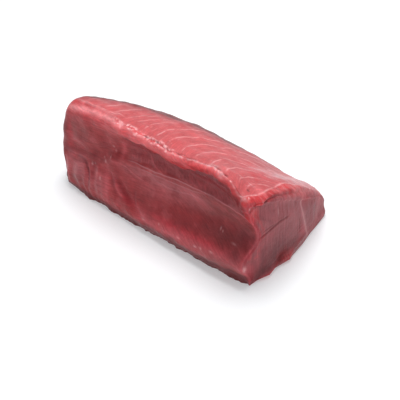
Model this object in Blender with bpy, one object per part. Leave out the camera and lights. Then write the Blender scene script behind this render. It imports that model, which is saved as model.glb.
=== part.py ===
"""Raw tuna block: one solid cut of a loin, resting on a flat base.

The block is lofted. A closed section of four sides (front, top, back, base) runs along the length,
its sizes change from the far end to the near end, and both ends close with rounded edges and a cut face.
Lengths are in millimetres in the section frame: x from the far end to the near end, y from the foot of
the front face to the back, z up from the base. The mesh is then centred over its footprint, in metres.
"""

import math

import bpy
import numpy as np

METRES_PER_MM = 0.001
NODE_NAME = "tuna_block"

# Sides of the section, in the order of its points
FRONT = 0
TOP = 1
BACK = 2
BASE = 3

# Overall sizes
LENGTH = 240.0
FOOTPRINT_CENTRE_X = 121.6
FOOTPRINT_CENTRE_Y = 56.3

# Sizes that change along the length, at even steps from the far end (first) to the near end (last)
RIDGE_HEIGHT = (95.0, 104.0, 106.5, 105.5, 103.5, 107.5, 98.0)
RIDGE_ROUNDING = (13.0, 11.0, 6.0, 3.6, 3.2, 3.2, 3.2)
FOOT_Y = (0.0, -3.0, -5.0, -7.0, -7.5, -7.0, -3.5)
RIDGE_SETBACK = (5.0, 1.0, 0.5, 1.5, 1.0, -1.0, -6.0)
SEAM_HEIGHT = (40.0, 45.0, 66.0, 75.0, 77.5, 76.5, 76.0)
LIP_OUT = (0.5, 1.5, 3.5, 5.0, 5.0, 5.0, 6.0)
RECESS_IN = (1.5, 2.5, 4.0, 5.0, 5.0, 4.0, 0.0)
SEAM_OUT = (-0.6, -1.4, 0.8, 1.5, 1.5, 1.5, 0.5)
HOLLOW_IN = (0.0, 0.0, 1.0, 2.5, 4.0, 6.0, 8.0)
RIM_OUT = (3.0, 3.0, 3.0, 4.0, 5.5, 8.0, 11.5)
RIM_HEIGHT = (20.0, 20.0, 16.0, 14.5, 18.0, 21.0, 29.0)
BACK_Y = (106.0, 114.0, 121.0, 124.0, 125.0, 126.0, 128.0)
BACK_HEIGHT = (16.0, 16.0, 16.0, 16.0, 15.0, 15.0, 16.0)
BACK_UNDERCUT = 3.0
BELLY_POWER = (1.34, 1.38, 1.50, 1.54, 1.49, 1.34, 1.34)

# Widths of the front face's forms, up the face
LIP_DROP = 7.0
LIP_WIDTH = 9.0
RECESS_RISE = 10.0
RECESS_WIDTH = 9.0
SEAM_WIDTH = 3.5
SEAM_BLEND = 8.0
HOLLOW_DROP = 21.0
HOLLOW_WIDTH = 15.0
RIM_WIDTH_ABOVE = 13.0
RIM_WIDTH_BELOW = 0.55

# Knob that stands on the ridge near the near end
KNOB_X = 204.0
KNOB_RISE = 5.5
KNOB_OUT = 2.5
KNOB_SPREAD = 9.0
KNOB_DEPTH = 22.0
KNOB_BLEND = 16.0

# Folds that hang like a curtain at the far end of the front face
FOLD_PITCH = 11.0
FOLD_DEPTH = 0.5
FOLD_DRIFT = 2.5
FOLD_DRIFT_LENGTH = 6.0
FOLD_LEAN = 0.10
FOLD_FOOT = 14.0
FOLD_FADE = 14.0
FOLD_LAST_X = 62.0
SWEEP_START_X = 50.0
SWEEP_SLOPE = 1.1
SWEEP_DEPTH = 1.6
SWEEP_END_Z = 12.0
SWEEP_WIDTH = 6.0

# Ends
FAR_END_X = -6.0
FAR_LEAN = 9.0
FAR_LEAN_FOOT = 45.0
FAR_LEAN_RISE = 60.0
FAR_CORNER = 8.0
FAR_CORNER_TOP = 46.0
FAR_CORNER_Y = 14.0
FAR_CORNER_WIDTH = 16.0
FAR_ROUNDING_FRONT = 10.0
FAR_ROUNDING_TOP = 10.0
NEAR_FACE_X = 245.5
NEAR_CREST_Y = 41.0
NEAR_FRONT_SKEW = 4.0
NEAR_BACK_SKEW = 10.5
NEAR_FRONT_POWER = 2.0
NEAR_BACK_POWER = 1.4
NEAR_ROUNDING_FRONT = 3.5
NEAR_ROUNDING_TOP = 8.0
NEAR_ROUNDING_BACK = 6.0
FRONT_ROUNDING_END = 0.72
TOP_ROUNDING_END = 0.80
NEAR_STEP_IN = 2.0
STEP_TOP_END = 0.6
STEP_TOP_FADE = 0.3
STEP_FRONT_START = 0.80
STEP_FRONT_FADE = 0.15
STEP_START = 0.12
STEP_FADE = 0.55
NUBS = ((42.0, 5.0, 4.0), (18.0, 3.0, 3.0))
NUB_SPREAD = 6.0
EDGE_SHARP_HEIGHT = 9.0
EDGE_SHARP_SHARE = 0.12
FACE_CENTRE_Y = 52.0
FACE_CENTRE_Z = 36.0

# Small relief
RIDGE_DETAIL_REACH = 0.20
LUMP_SEED = 11
LUMP_WAVES = 7
LUMP_SIZE = 1.1
LUMP_LENGTHS = (46.0, 12.0)
LUMPS_START_X = 30.0
LUMPS_FULL_OVER = 40.0
SURFACE_WAVES = 9
SURFACE_SIZE = 0.5
SURFACE_LENGTHS = (60.0, 14.0)
SURFACE_RISE = 12.0

# Mesh density
STATIONS = 54
FRONT_POINTS = 25
FRONT_EVEN_SHARE = 0.80
TOP_POINTS = 20
TOP_EVEN_SHARE = 0.55
BACK_POINTS = 4
BASE_POINTS = 9
ROUNDING_RINGS = 4
FACE_RINGS = 7
FACE_RING_POWER = 0.9
SHARP_EDGE_DEG = 50.0

# Look of the flesh
FLESH_COLOUR = (0.42, 0.09, 0.09)
FLESH_ROUGHNESS = 0.42


def smooth(value):
    """Rises from 0 to 1 with level ends."""
    value = np.clip(value, 0.0, 1.0)
    return value * value * (3.0 - 2.0 * value)


def bump(distance, width):
    """A smooth hill of height 1."""
    return np.exp(-((distance / width) ** 2))


def along(x, sizes):
    """A size at x, by a cubic through the values given at even steps of the length."""
    sizes = np.asarray(sizes, float)
    last = len(sizes) - 1
    place = np.clip(x / LENGTH, 0.0, 1.0) * last
    start = np.minimum(place.astype(int), last - 1)
    part = place - start
    before = sizes[np.maximum(start - 1, 0)]
    here = sizes[start]
    after = sizes[start + 1]
    beyond = sizes[np.minimum(start + 2, last)]
    slope_here = (after - before) / 2.0
    slope_after = (beyond - here) / 2.0
    return (
        here * (1.0 + 2.0 * part) * (1.0 - part) ** 2
        + slope_here * part * (1.0 - part) ** 2
        + after * part**2 * (3.0 - 2.0 * part)
        - slope_after * part**2 * (1.0 - part)
    )


def waves(x, y, z, count, longest, shortest, seed):
    """Even ripples of mixed length and direction, between about -1 and 1."""
    draw = np.random.RandomState(seed)
    total = 0.0
    for index in range(count):
        length = longest * (shortest / longest) ** (index / max(count - 1, 1))
        turn = draw.uniform(0.0, 2.0 * math.pi, 3)
        across = math.cos(turn[0]) * x + math.sin(turn[0]) * (y + z * math.cos(turn[1]))
        total = total + np.sin(2.0 * math.pi * across / length + turn[2])
    return total / math.sqrt(count)


def ring_parameters():
    """Which side each point of the section's ring is on, and how far along that side."""
    even = np.linspace(0.0, 1.0, FRONT_POINTS, endpoint=False)
    closing = 1.0 - (1.0 - even) ** 2 / (1.0 - FRONT_EVEN_SHARE**2)
    front = np.where(even < FRONT_EVEN_SHARE, 2.0 * even / (1.0 + FRONT_EVEN_SHARE), closing)
    even = np.linspace(0.0, 1.0, TOP_POINTS, endpoint=False)
    top = (1.0 - TOP_EVEN_SHARE) * (0.5 - 0.5 * np.cos(math.pi * even)) + TOP_EVEN_SHARE * even
    back = np.linspace(0.0, 1.0, BACK_POINTS, endpoint=False)
    base = np.linspace(0.0, 1.0, BASE_POINTS, endpoint=False)
    counts = [FRONT_POINTS, TOP_POINTS, BACK_POINTS, BASE_POINTS]
    return np.repeat([FRONT, TOP, BACK, BASE], counts), np.concatenate([front, top, back, base])


def ridge_detail(x):
    """The lumps along the ridge and its knob, above the ridge's plain height."""
    lumps = LUMP_SIZE * waves(x, 0.0, 0.0, LUMP_WAVES, *LUMP_LENGTHS, LUMP_SEED)
    knob = KNOB_RISE * bump(x - KNOB_X, KNOB_SPREAD)
    return knob + lumps * smooth((x - LUMPS_START_X) / LUMPS_FULL_OVER)


def ridge_height(x):
    return along(x, RIDGE_HEIGHT) + ridge_detail(x)


def front_y(x, z, height):
    """The front face at height z."""
    seam = along(x, SEAM_HEIGHT)
    rim = along(x, RIM_HEIGHT)
    rim_width = np.where(z < rim, RIM_WIDTH_BELOW * rim, RIM_WIDTH_ABOVE)
    upward = smooth(z / height)
    y = along(x, FOOT_Y) * (1.0 - upward) + along(x, RIDGE_SETBACK) * upward
    y = y - along(x, LIP_OUT) * bump(z - (height - LIP_DROP), LIP_WIDTH)
    y = y + along(x, RECESS_IN) * bump(z - (seam + RECESS_RISE), RECESS_WIDTH)
    y = y - along(x, SEAM_OUT) * bump(z - seam, SEAM_WIDTH)
    y = y + along(x, HOLLOW_IN) * bump(z - (seam - HOLLOW_DROP), HOLLOW_WIDTH)
    y = y - along(x, RIM_OUT) * bump(z - rim, rim_width)
    knob_top = smooth((z - (height - KNOB_DEPTH)) / KNOB_BLEND)
    y = y - KNOB_OUT * bump(x - KNOB_X, KNOB_SPREAD) * knob_top

    # Folds that hang from the seam, and the groove that sweeps down from their last one
    below_seam = smooth((seam - z) / SEAM_BLEND)
    hang = below_seam * smooth(z / FOLD_FOOT) * smooth((FOLD_LAST_X - x) / FOLD_FADE)
    fold_place = x + FOLD_LEAN * z + FOLD_DRIFT * np.sin(x / FOLD_DRIFT_LENGTH)
    y = y - FOLD_DEPTH * hang * np.sin(2.0 * math.pi * fold_place / FOLD_PITCH)
    sweep_x = SWEEP_START_X + SWEEP_SLOPE * (seam - z)
    swept = below_seam * smooth((z - SWEEP_END_Z) / SEAM_BLEND)
    return y + SWEEP_DEPTH * swept * bump(x - sweep_x, SWEEP_WIDTH)


def section(x, side, part):
    """(y, z) of the ring's points at x."""
    height = ridge_height(x)
    rounding = along(x, RIDGE_ROUNDING)
    back_y = along(x, BACK_Y)
    back_z = along(x, BACK_HEIGHT)
    power = along(x, BELLY_POWER)

    # Front face, from the foot up to the ridge, which it rounds
    z_front = height * np.where(side == FRONT, part, 0.0)
    into = np.clip((z_front - (height - rounding)) / rounding, 0.0, 1.0)
    y_front = front_y(x, z_front, height) + rounding * (1.0 - np.sqrt(1.0 - into**2))

    # Top, from the ridge over the belly to the back
    ridge_y = front_y(x, height, height) + rounding
    across = np.where(side == TOP, part, 0.0)
    y_top = ridge_y + (back_y - ridge_y) * across
    fall = (1.0 - across**power) ** (1.0 / power)
    detail = ridge_detail(x)
    z_top = back_z + (height - detail - back_z) * fall
    z_top = z_top + detail * (1.0 - smooth(across / RIDGE_DETAIL_REACH))

    # Back and base
    down = np.where(side == BACK, part, 0.0)
    y_back = back_y - BACK_UNDERCUT * down**2
    z_back = back_z * (1.0 - down)
    foot = along(x, FOOT_Y)
    forward = np.where(side == BASE, part, 0.0)
    y_base = (back_y - BACK_UNDERCUT) * (1.0 - forward) + foot * forward

    sides = [side == FRONT, side == TOP, side == BACK]
    y = np.select(sides, [y_front, y_top, y_back], y_base)
    z = np.select(sides, [z_front, z_top, z_back], 0.0)
    return y, z


def far_face_x(y, z):
    lean = FAR_LEAN * smooth((z - FAR_LEAN_FOOT) / FAR_LEAN_RISE)
    at_foot = smooth((FAR_CORNER_TOP - z) / FAR_CORNER_TOP)
    corner = FAR_CORNER * smooth((FAR_CORNER_Y - y) / FAR_CORNER_WIDTH) * at_foot
    return FAR_END_X + lean + corner


def near_face_x(y, z):
    front = NEAR_FRONT_SKEW * (np.clip(NEAR_CREST_Y - y, 0.0, None) / NEAR_CREST_Y) ** NEAR_FRONT_POWER
    to_back = BACK_Y[-1] - NEAR_CREST_Y
    back = NEAR_BACK_SKEW * (np.clip(y - NEAR_CREST_Y, 0.0, None) / to_back) ** NEAR_BACK_POWER
    x = NEAR_FACE_X - front - back
    for nub_y, nub_z, size in NUBS:
        x = x + size * bump(y - nub_y, NUB_SPREAD) * bump(z - nub_z, NUB_SPREAD)
    return x


def roundings(side, part):
    """How far each ring point's edge is rounded at the far and the near end."""
    up_front = smooth((part - FRONT_ROUNDING_END) / (1.0 - FRONT_ROUNDING_END))
    down_top = smooth((part - TOP_ROUNDING_END) / (1.0 - TOP_ROUNDING_END))
    to_top = np.where(side == FRONT, up_front, 1.0)
    to_back = np.select([side == FRONT, side == TOP], [0.0, down_top], 1.0)
    far = FAR_ROUNDING_FRONT + (FAR_ROUNDING_TOP - FAR_ROUNDING_FRONT) * to_top
    near = NEAR_ROUNDING_FRONT + (NEAR_ROUNDING_TOP - NEAR_ROUNDING_FRONT) * to_top
    return far, near + (NEAR_ROUNDING_BACK - near) * to_back


def edge_share(z):
    """The rounding dies out at the base, whose edge is sharp."""
    return EDGE_SHARP_SHARE + (1.0 - EDGE_SHARP_SHARE) * smooth(z / EDGE_SHARP_HEIGHT)


def surface_relief(x, y, z):
    """Points moved a little along y and z, so that the cut looks hand made. The base stays flat."""
    size = SURFACE_SIZE * smooth(z / SURFACE_RISE)
    shift_y = size * waves(x, y, z, SURFACE_WAVES, *SURFACE_LENGTHS, LUMP_SEED + 1)
    shift_z = size * waves(x, y, z, SURFACE_WAVES, *SURFACE_LENGTHS, LUMP_SEED + 2)
    return y + shift_y, z + shift_z


def loft():
    """Rings of points from the middle of the far face to the middle of the near face."""
    side, part = ring_parameters()
    far_round, near_round = roundings(side, part)
    rings = []

    def place(x_of):
        """The ring whose x is x_of(y, z), which needs the section at that x."""
        x = np.full(len(side), LENGTH / 2.0)
        for _ in range(4):
            y, z = section(np.clip(x, 0.0, LENGTH), side, part)
            x = x_of(y, z)
        return x, y, z

    def inset(y, z, amount):
        """Points moved towards the middle of the section by this many millimetres, base points level."""
        to_y = FACE_CENTRE_Y - y
        to_z = np.where(side == BASE, 0.0, FACE_CENTRE_Z - z)
        reach = np.hypot(to_y, to_z) + 1e-9
        return y + to_y / reach * amount, np.maximum(z + to_z / reach * amount * (z > 0), 0.0)

    def end_ring(face_x, radius, inward, angle):
        """A ring on the rounded edge of an end face."""

        def x_of(y, z):
            return face_x(y, z) + inward * radius * edge_share(z) * (1.0 - math.sin(angle))

        x, y, z = place(x_of)
        y, z = inset(y, z, radius * edge_share(z) * (1.0 - math.cos(angle)))
        y, z = surface_relief(x, y, z)
        return np.stack([x, y, z], -1)

    for step in range(ROUNDING_RINGS, 0, -1):
        angle = 0.5 * math.pi * step / ROUNDING_RINGS
        rings.append(end_ring(far_face_x, far_round, 1.0, angle))

    for station in np.linspace(0.0, 1.0, STATIONS):

        def x_of(y, z):
            start = far_face_x(y, z) + far_round * edge_share(z)
            end = near_face_x(y, z) - near_round * edge_share(z)
            return start + (end - start) * station

        x, y, z = place(x_of)
        y, z = surface_relief(x, y, z)
        rings.append(np.stack([x, y, z], -1))

    for step in range(1, ROUNDING_RINGS + 1):
        angle = 0.5 * math.pi * step / ROUNDING_RINGS
        rings.append(end_ring(near_face_x, near_round, -1.0, angle))

    return close_ends(rings, side, part)


def face_ring(edge, share, face_x, step_in):
    """A smaller ring on an end face, at this share of the way out from its middle."""
    y = FACE_CENTRE_Y + (edge[:, 1] - FACE_CENTRE_Y) * share
    z = FACE_CENTRE_Z + (edge[:, 2] - FACE_CENTRE_Z) * share
    inward = 1.0 - share
    groove = smooth(inward / STEP_START) * (1.0 - smooth((inward - STEP_START) / STEP_FADE))
    return np.stack([face_x(y, z) - step_in * groove, y, z], -1)


def close_ends(rings, side, part):
    """Adds the rings of both end faces. The near face is set back under its rounded top edge."""
    under_top = np.where(side == TOP, 1.0 - smooth((part - STEP_TOP_END) / STEP_TOP_FADE), 0.0)
    up_front = smooth((part - STEP_FRONT_START) / STEP_FRONT_FADE)
    under_top = np.where(side == FRONT, up_front, under_top)
    shares = [1.0 - (step / FACE_RINGS) ** FACE_RING_POWER for step in range(1, FACE_RINGS)]
    far = [face_ring(rings[0], share, far_face_x, 0.0) for share in shares]
    near = [face_ring(rings[-1], share, near_face_x, NEAR_STEP_IN * under_top) for share in shares]
    far_middle = np.array([far_face_x(FACE_CENTRE_Y, FACE_CENTRE_Z), FACE_CENTRE_Y, FACE_CENTRE_Z])
    near_middle = np.array([near_face_x(FACE_CENTRE_Y, FACE_CENTRE_Z), FACE_CENTRE_Y, FACE_CENTRE_Z])
    return far_middle, far[::-1] + rings + near, near_middle


def faces_of(ring_count, ring_size):
    """Quads between neighbouring rings and a fan at each end. Vertex 0 and the last are the middles."""
    faces = []
    last = 1 + ring_count * ring_size
    for here in range(ring_size):
        beside = (here + 1) % ring_size
        faces.append((0, 1 + here, 1 + beside))
        faces.append((last, last - ring_size + beside, last - ring_size + here))
        for ring in range(ring_count - 1):
            low = 1 + ring * ring_size
            high = low + ring_size
            faces.append((low + beside, low + here, high + here, high + beside))
    return faces


def remove_all_objects():
    for found in list(bpy.data.objects):
        bpy.data.objects.remove(found, do_unlink=True)


def flesh_material():
    material = bpy.data.materials.new("tuna_flesh")
    material.use_nodes = True
    shader = material.node_tree.nodes["Principled BSDF"]
    shader.inputs["Base Color"].default_value = (*FLESH_COLOUR, 1.0)
    shader.inputs["Roughness"].default_value = FLESH_ROUGHNESS
    return material


def build_block():
    far_middle, rings, near_middle = loft()
    ring_size = len(rings[0])
    points = np.concatenate([far_middle[None], *rings, near_middle[None]])
    points = (points - (FOOTPRINT_CENTRE_X, FOOTPRINT_CENTRE_Y, 0.0)) * METRES_PER_MM
    mesh = bpy.data.meshes.new(NODE_NAME)
    mesh.from_pydata(points.tolist(), [], faces_of(len(rings), ring_size))
    mesh.shade_smooth()
    mesh.set_sharp_from_angle(angle=math.radians(SHARP_EDGE_DEG))
    mesh.materials.append(flesh_material())
    block = bpy.data.objects.new(NODE_NAME, mesh)
    bpy.context.scene.collection.objects.link(block)
    return block


remove_all_objects()
build_block()
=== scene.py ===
"""Raw tuna block as it looks: a fine skin of the solid's own forms, with its relief, colours with painted
light and shade, and gloss.

Lengths are in millimetres in the section frame: x from the far end to the near end, y from the foot of
the front face to the back, z up from the base. The skin is made in metres, centred like the solid.
"""

import math

import bpy
import numpy as np
from mathutils import Matrix, Vector, noise


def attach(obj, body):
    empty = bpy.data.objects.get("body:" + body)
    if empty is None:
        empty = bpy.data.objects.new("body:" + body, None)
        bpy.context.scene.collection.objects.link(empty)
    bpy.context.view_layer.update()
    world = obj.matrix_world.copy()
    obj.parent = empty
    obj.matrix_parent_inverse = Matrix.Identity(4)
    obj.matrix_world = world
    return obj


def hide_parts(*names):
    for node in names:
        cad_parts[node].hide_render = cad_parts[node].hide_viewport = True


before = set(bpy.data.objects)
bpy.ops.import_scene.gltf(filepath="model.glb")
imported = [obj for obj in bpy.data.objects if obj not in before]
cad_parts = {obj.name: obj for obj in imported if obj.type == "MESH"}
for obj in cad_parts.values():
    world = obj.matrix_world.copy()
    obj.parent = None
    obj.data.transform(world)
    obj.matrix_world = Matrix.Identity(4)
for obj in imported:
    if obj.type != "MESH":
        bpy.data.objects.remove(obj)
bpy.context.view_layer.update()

METRES_PER_MM = 0.001
NODE_NAME = "tuna_block"
BODY = "root"
SKIN_NAME = "tuna_skin"

# Overall sizes, as in the solid
LENGTH = 240.0
FOOTPRINT_CENTRE_X = 121.6
FOOTPRINT_CENTRE_Y = 56.3

# Sizes that change along the length, at even steps from the far end (first) to the near end (last)
RIDGE_HEIGHT = (95.0, 104.0, 106.5, 105.5, 103.5, 107.5, 98.0)
RIDGE_ROUNDING = (13.0, 11.0, 6.0, 3.6, 3.2, 3.2, 3.2)
FOOT_Y = (0.0, -3.0, -5.0, -7.0, -7.5, -7.0, -3.5)
RIDGE_SETBACK = (5.0, 1.0, 0.5, 1.5, 1.0, -1.0, -6.0)
SEAM_HEIGHT = (40.0, 45.0, 66.0, 75.0, 77.5, 76.5, 76.0)
LIP_OUT = (0.5, 1.5, 3.5, 5.0, 5.0, 5.0, 6.0)
RECESS_IN = (1.5, 2.5, 4.0, 5.0, 5.0, 4.0, 0.0)
SEAM_OUT = (-0.6, -1.4, 0.8, 1.5, 1.5, 1.5, 0.5)
HOLLOW_IN = (0.0, 0.0, 1.0, 2.5, 4.0, 6.0, 8.0)
RIM_OUT = (3.0, 3.0, 3.0, 4.0, 5.5, 8.0, 11.5)
RIM_HEIGHT = (20.0, 20.0, 16.0, 14.5, 18.0, 21.0, 29.0)
BACK_Y = (106.0, 114.0, 121.0, 124.0, 125.0, 126.0, 128.0)
BACK_HEIGHT = (16.0, 16.0, 16.0, 16.0, 15.0, 15.0, 16.0)
BACK_UNDERCUT = 3.0
BELLY_POWER = (1.34, 1.38, 1.50, 1.54, 1.49, 1.34, 1.34)

# Widths of the front face's forms, up the face
LIP_DROP = 7.0
LIP_WIDTH = 9.0
RECESS_RISE = 10.0
RECESS_WIDTH = 9.0
SEAM_WIDTH = 3.5
SEAM_BLEND = 8.0
HOLLOW_DROP = 21.0
HOLLOW_WIDTH = 15.0
RIM_WIDTH_ABOVE = 13.0
RIM_WIDTH_BELOW = 0.55

# Knob that stands on the ridge near the near end
KNOB_X = 204.0
KNOB_RISE = 5.5
KNOB_OUT = 2.5
KNOB_SPREAD = 9.0
KNOB_DEPTH = 22.0
KNOB_BLEND = 16.0

# Folds that hang like a curtain at the far end of the front face
FOLD_PITCH = 11.0
FOLD_DEPTH = 0.5
FOLD_DRIFT = 2.5
FOLD_DRIFT_LENGTH = 6.0
FOLD_LEAN = 0.10
FOLD_FOOT = 14.0
FOLD_FADE = 14.0
FOLD_LAST_X = 62.0
SWEEP_START_X = 50.0
SWEEP_SLOPE = 1.1
SWEEP_DEPTH = 1.6
SWEEP_END_Z = 12.0
SWEEP_WIDTH = 6.0

# Ends
FAR_END_X = -6.0
FAR_LEAN = 9.0
FAR_LEAN_FOOT = 45.0
FAR_LEAN_RISE = 60.0
FAR_CORNER = 8.0
FAR_CORNER_TOP = 46.0
FAR_CORNER_Y = 14.0
FAR_CORNER_WIDTH = 16.0
FAR_ROUNDING = 10.0
NEAR_FACE_X = 245.5
NEAR_CREST_Y = 41.0
NEAR_FRONT_SKEW = 4.0
NEAR_BACK_SKEW = 10.5
NEAR_BACK_POWER = 1.4
NEAR_ROUNDING_FRONT = 3.5
NEAR_ROUNDING_TOP = 8.0
NEAR_ROUNDING_BACK = 6.0
NEAR_STEP_IN = 2.0
STEP_START = 0.12
STEP_FADE = 0.55
NUBS = ((42.0, 5.0, 4.0), (18.0, 3.0, 3.0))
NUB_SPREAD = 6.0
EDGE_SHARP_HEIGHT = 9.0
EDGE_SHARP_SHARE = 0.12
FACE_CENTRE_Y = 52.0
FACE_CENTRE_Z = 36.0

# Changes along a side of the section: the share of the side where each starts, and the share it takes
NEAR_ROUNDING_CREST = (0.72, 0.28)
NEAR_ROUNDING_BELLY = (0.80, 0.20)
STEP_UP_FRONT = (0.80, 0.15)
STEP_OVER_TOP = (0.6, 0.3)

# Small relief of the solid
RIDGE_DETAIL_REACH = 0.20
LUMP_SEED = 11
LUMP_WAVES = 7
LUMP_SIZE = 1.1
LUMP_LENGTHS = (46.0, 12.0)
LUMPS_START_X = 30.0
LUMPS_FULL_OVER = 40.0
SURFACE_WAVES = 9
SURFACE_SIZE = 0.5
SURFACE_LENGTHS = (60.0, 14.0)
SURFACE_RISE = 12.0

# Mesh density of the skin
STATIONS = 240
FRONT_POINTS = 150
FRONT_EVEN_SHARE = 0.80
TOP_POINTS = 118
TOP_EVEN_SHARE = 0.55
BACK_POINTS = 10
BASE_POINTS = 8
FAR_ROUNDING_RINGS = 8
NEAR_ROUNDING_RINGS = 10
FAR_FACE_RINGS = 30
NEAR_FACE_RINGS = 44
FACE_RING_POWER = 1.05
SHARP_EDGE_DEG = 50.0
SETTLING_STEPS = 4
FRONT, TOP, BACK, BASE = 0, 1, 2, 3

# Lines on the flesh: chart, points in that chart, taper at the ends
LINES = {
    "seam": ("front", ((86, 69), (101, 71.3), (112, 70), (128, 72), (143, 73.7), (155, 75.2), (170, 76),
                       (186, 77.8), (194, 79), (201, 78.1), (218, 76), (227, 76.7), (234, 72.3),
                       (240, 67)), 14.0),
    "strand_far": ("front", ((64, 60), (72, 60.7), (84, 62.4), (91, 61.6), (98, 58.4), (104, 56.2),
                             (116, 53)), 9.0),
    "strand_high": ("front", ((114, 86), (117.7, 79.5), (124, 77.5), (131.5, 75), (139, 71)), 6.0),
    "strand_middle": ("front", ((98, 67), (118, 66.5), (131, 68.5), (149, 69.5), (167, 71.5),
                                (187, 75.5)), 12.0),
    "strand_low": ("front", ((120, 63), (136, 61), (152, 62), (170, 66), (186, 68)), 12.0),
    "tongue_edge": ("front", ((20, 42.5), (26, 43), (32, 41.5), (38, 34), (40.5, 25), (40, 15)), 5.0),
    "groove": ("front", ((74, 52), (76, 44), (79.5, 37.5), (85.5, 32), (94, 28), (104, 26)), 9.0),
    "fold_light": ("front", ((70, 51), (72, 43), (75.5, 36), (81.5, 30), (90, 25.5)), 8.0),
    "cleft": ("front", ((100, 43), (101.5, 34), (103, 22)), 7.0),
    "far_streak": ("front", ((10, 60), (14, 59), (24, 61), (36, 60)), 8.0),
    "high_fold": ("front", ((87, 92), (85.5, 82), (84, 74), (83, 64)), 9.0),
    "fissure": ("near", ((2.5, 50), (10.6, 52), (18, 53.7), (25.8, 55.4), (34.2, 55.7), (48, 54)), 8.0),
    "fissure_high": ("near", ((8, 56), (17.8, 57.3), (27, 57.2)), 5.0),
    "membrane": ("near", ((66, 64), (67, 56), (68.2, 47.5), (71.6, 36.3), (77, 23), (81.6, 10),
                          (85, 0)), 8.0),
    "slit": ("near", ((65.5, 42), (66, 36), (67, 26), (67.6, 18)), 6.0),
    "wedge": ("near", ((95, 38), (96.5, 28), (98, 15), (99, 8)), 9.0),
    "crest_gap": ("crest", ((108, -0.5), (120, -0.5), (131, 0.6), (139, 1.5), (150, 2.2), (163, 3.0),
                            (176, 2.6)), 7.0),
}

# Layers of muscle that show as arcs on the top, from the far end to the near end: points (y, x)
LAYER_ARCS = (
    ((0, -40), (20, -34), (60, -20)),
    ((0, -24), (20, -18), (60, -4)),
    ((0, -8), (20, -2), (60, 12)),
    ((0, 8), (20, 14), (60, 28)),
    ((0, 24), (20, 31), (60, 44)),
    ((0, 40), (8, 46), (20, 50), (60, 60)),
    ((0, 58), (12, 63), (30, 68), (60, 76)),
    ((0, 76), (15, 80), (30, 84), (60, 94)),
    ((0, 88), (12, 91), (22, 93), (38, 95), (60, 100)),
    ((0, 108), (14, 104), (24, 102), (36, 103), (60, 110)),
    ((0, 122), (15, 118.6), (26, 117), (36, 118), (60, 126)),
    ((0, 137), (13, 132.8), (22, 132.2), (33, 133.6), (60, 146)),
    ((0, 156), (10, 151), (18, 149.4), (26, 149.1), (32, 149.9), (42, 152.5), (60, 166)),
    ((0, 172), (13, 165.6), (21, 163.9), (27, 164.8), (34, 168.4), (41, 173.9), (60, 196)),
    ((0, 190), (16, 183.7), (22, 183.3), (30, 184.9), (37, 189.9), (46, 198), (60, 214)),
    ((0, 212), (9, 206.3), (19, 201.8), (28, 200.5), (35, 203.1), (43, 208.2), (60, 224)),
    ((0, 226), (15, 216.7), (24, 216.1), (35, 217.4), (43, 221.5), (60, 236)),
    ((0, 236), (10, 226.6), (17, 224.4), (25, 223.6), (34, 226.2), (60, 246)),
    ((0, 252), (20, 243), (60, 262)),
)


def smooth(value):
    """Rises from 0 to 1 with level ends."""
    value = np.clip(value, 0.0, 1.0)
    return value * value * (3.0 - 2.0 * value)


def rise(value, start, over):
    """0 up to the start, then smoothly up to 1 over this distance."""
    return smooth((value - start) / over)


def fall(value, start, over):
    """1 up to the start, then smoothly down to 0 over this distance."""
    return 1.0 - rise(value, start, over)


def bump(distance, width):
    """A smooth hill of height 1."""
    return np.exp(-((distance / width) ** 2))


def along(x, sizes):
    """A size at x, by a cubic through the values given at even steps of the length."""
    sizes = np.asarray(sizes, float)
    last = len(sizes) - 1
    place = np.clip(x / LENGTH, 0.0, 1.0) * last
    start = np.minimum(place.astype(int), last - 1)
    part = place - start
    before = sizes[np.maximum(start - 1, 0)]
    here = sizes[start]
    after = sizes[start + 1]
    beyond = sizes[np.minimum(start + 2, last)]
    slope_here = (after - before) / 2.0
    slope_after = (beyond - here) / 2.0
    return (
        here * (1.0 + 2.0 * part) * (1.0 - part) ** 2
        + slope_here * part * (1.0 - part) ** 2
        + after * part**2 * (3.0 - 2.0 * part)
        - slope_after * part**2 * (1.0 - part)
    )


def waves(x, y, z, count, longest, shortest, seed):
    """Even ripples of mixed length and direction, between about -1 and 1."""
    draw = np.random.RandomState(seed)
    total = 0.0
    for index in range(count):
        length = longest * (shortest / longest) ** (index / max(count - 1, 1))
        turn = draw.uniform(0.0, 2.0 * math.pi, 3)
        across = math.cos(turn[0]) * x + math.sin(turn[0]) * (y + z * math.cos(turn[1]))
        total = total + np.sin(2.0 * math.pi * across / length + turn[2])
    return total / math.sqrt(count)


def ring_parameters():
    """Which side each point of the section's ring is on, and how far along that side."""
    even = np.linspace(0.0, 1.0, FRONT_POINTS, endpoint=False)
    closing = 1.0 - (1.0 - even) ** 2 / (1.0 - FRONT_EVEN_SHARE**2)
    front = np.where(even < FRONT_EVEN_SHARE, 2.0 * even / (1.0 + FRONT_EVEN_SHARE), closing)
    even = np.linspace(0.0, 1.0, TOP_POINTS, endpoint=False)
    top = (1.0 - TOP_EVEN_SHARE) * (0.5 - 0.5 * np.cos(math.pi * even)) + TOP_EVEN_SHARE * even
    back = np.linspace(0.0, 1.0, BACK_POINTS, endpoint=False)
    base = np.linspace(0.0, 1.0, BASE_POINTS, endpoint=False)
    counts = [FRONT_POINTS, TOP_POINTS, BACK_POINTS, BASE_POINTS]
    return np.repeat([FRONT, TOP, BACK, BASE], counts), np.concatenate([front, top, back, base])


def ridge_detail(x):
    """The lumps along the ridge and its knob, above the ridge's plain height."""
    lumps = LUMP_SIZE * waves(x, 0.0, 0.0, LUMP_WAVES, *LUMP_LENGTHS, LUMP_SEED)
    knob = KNOB_RISE * bump(x - KNOB_X, KNOB_SPREAD)
    return knob + lumps * rise(x, LUMPS_START_X, LUMPS_FULL_OVER)


def ridge_height(x):
    return along(x, RIDGE_HEIGHT) + ridge_detail(x)


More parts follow.
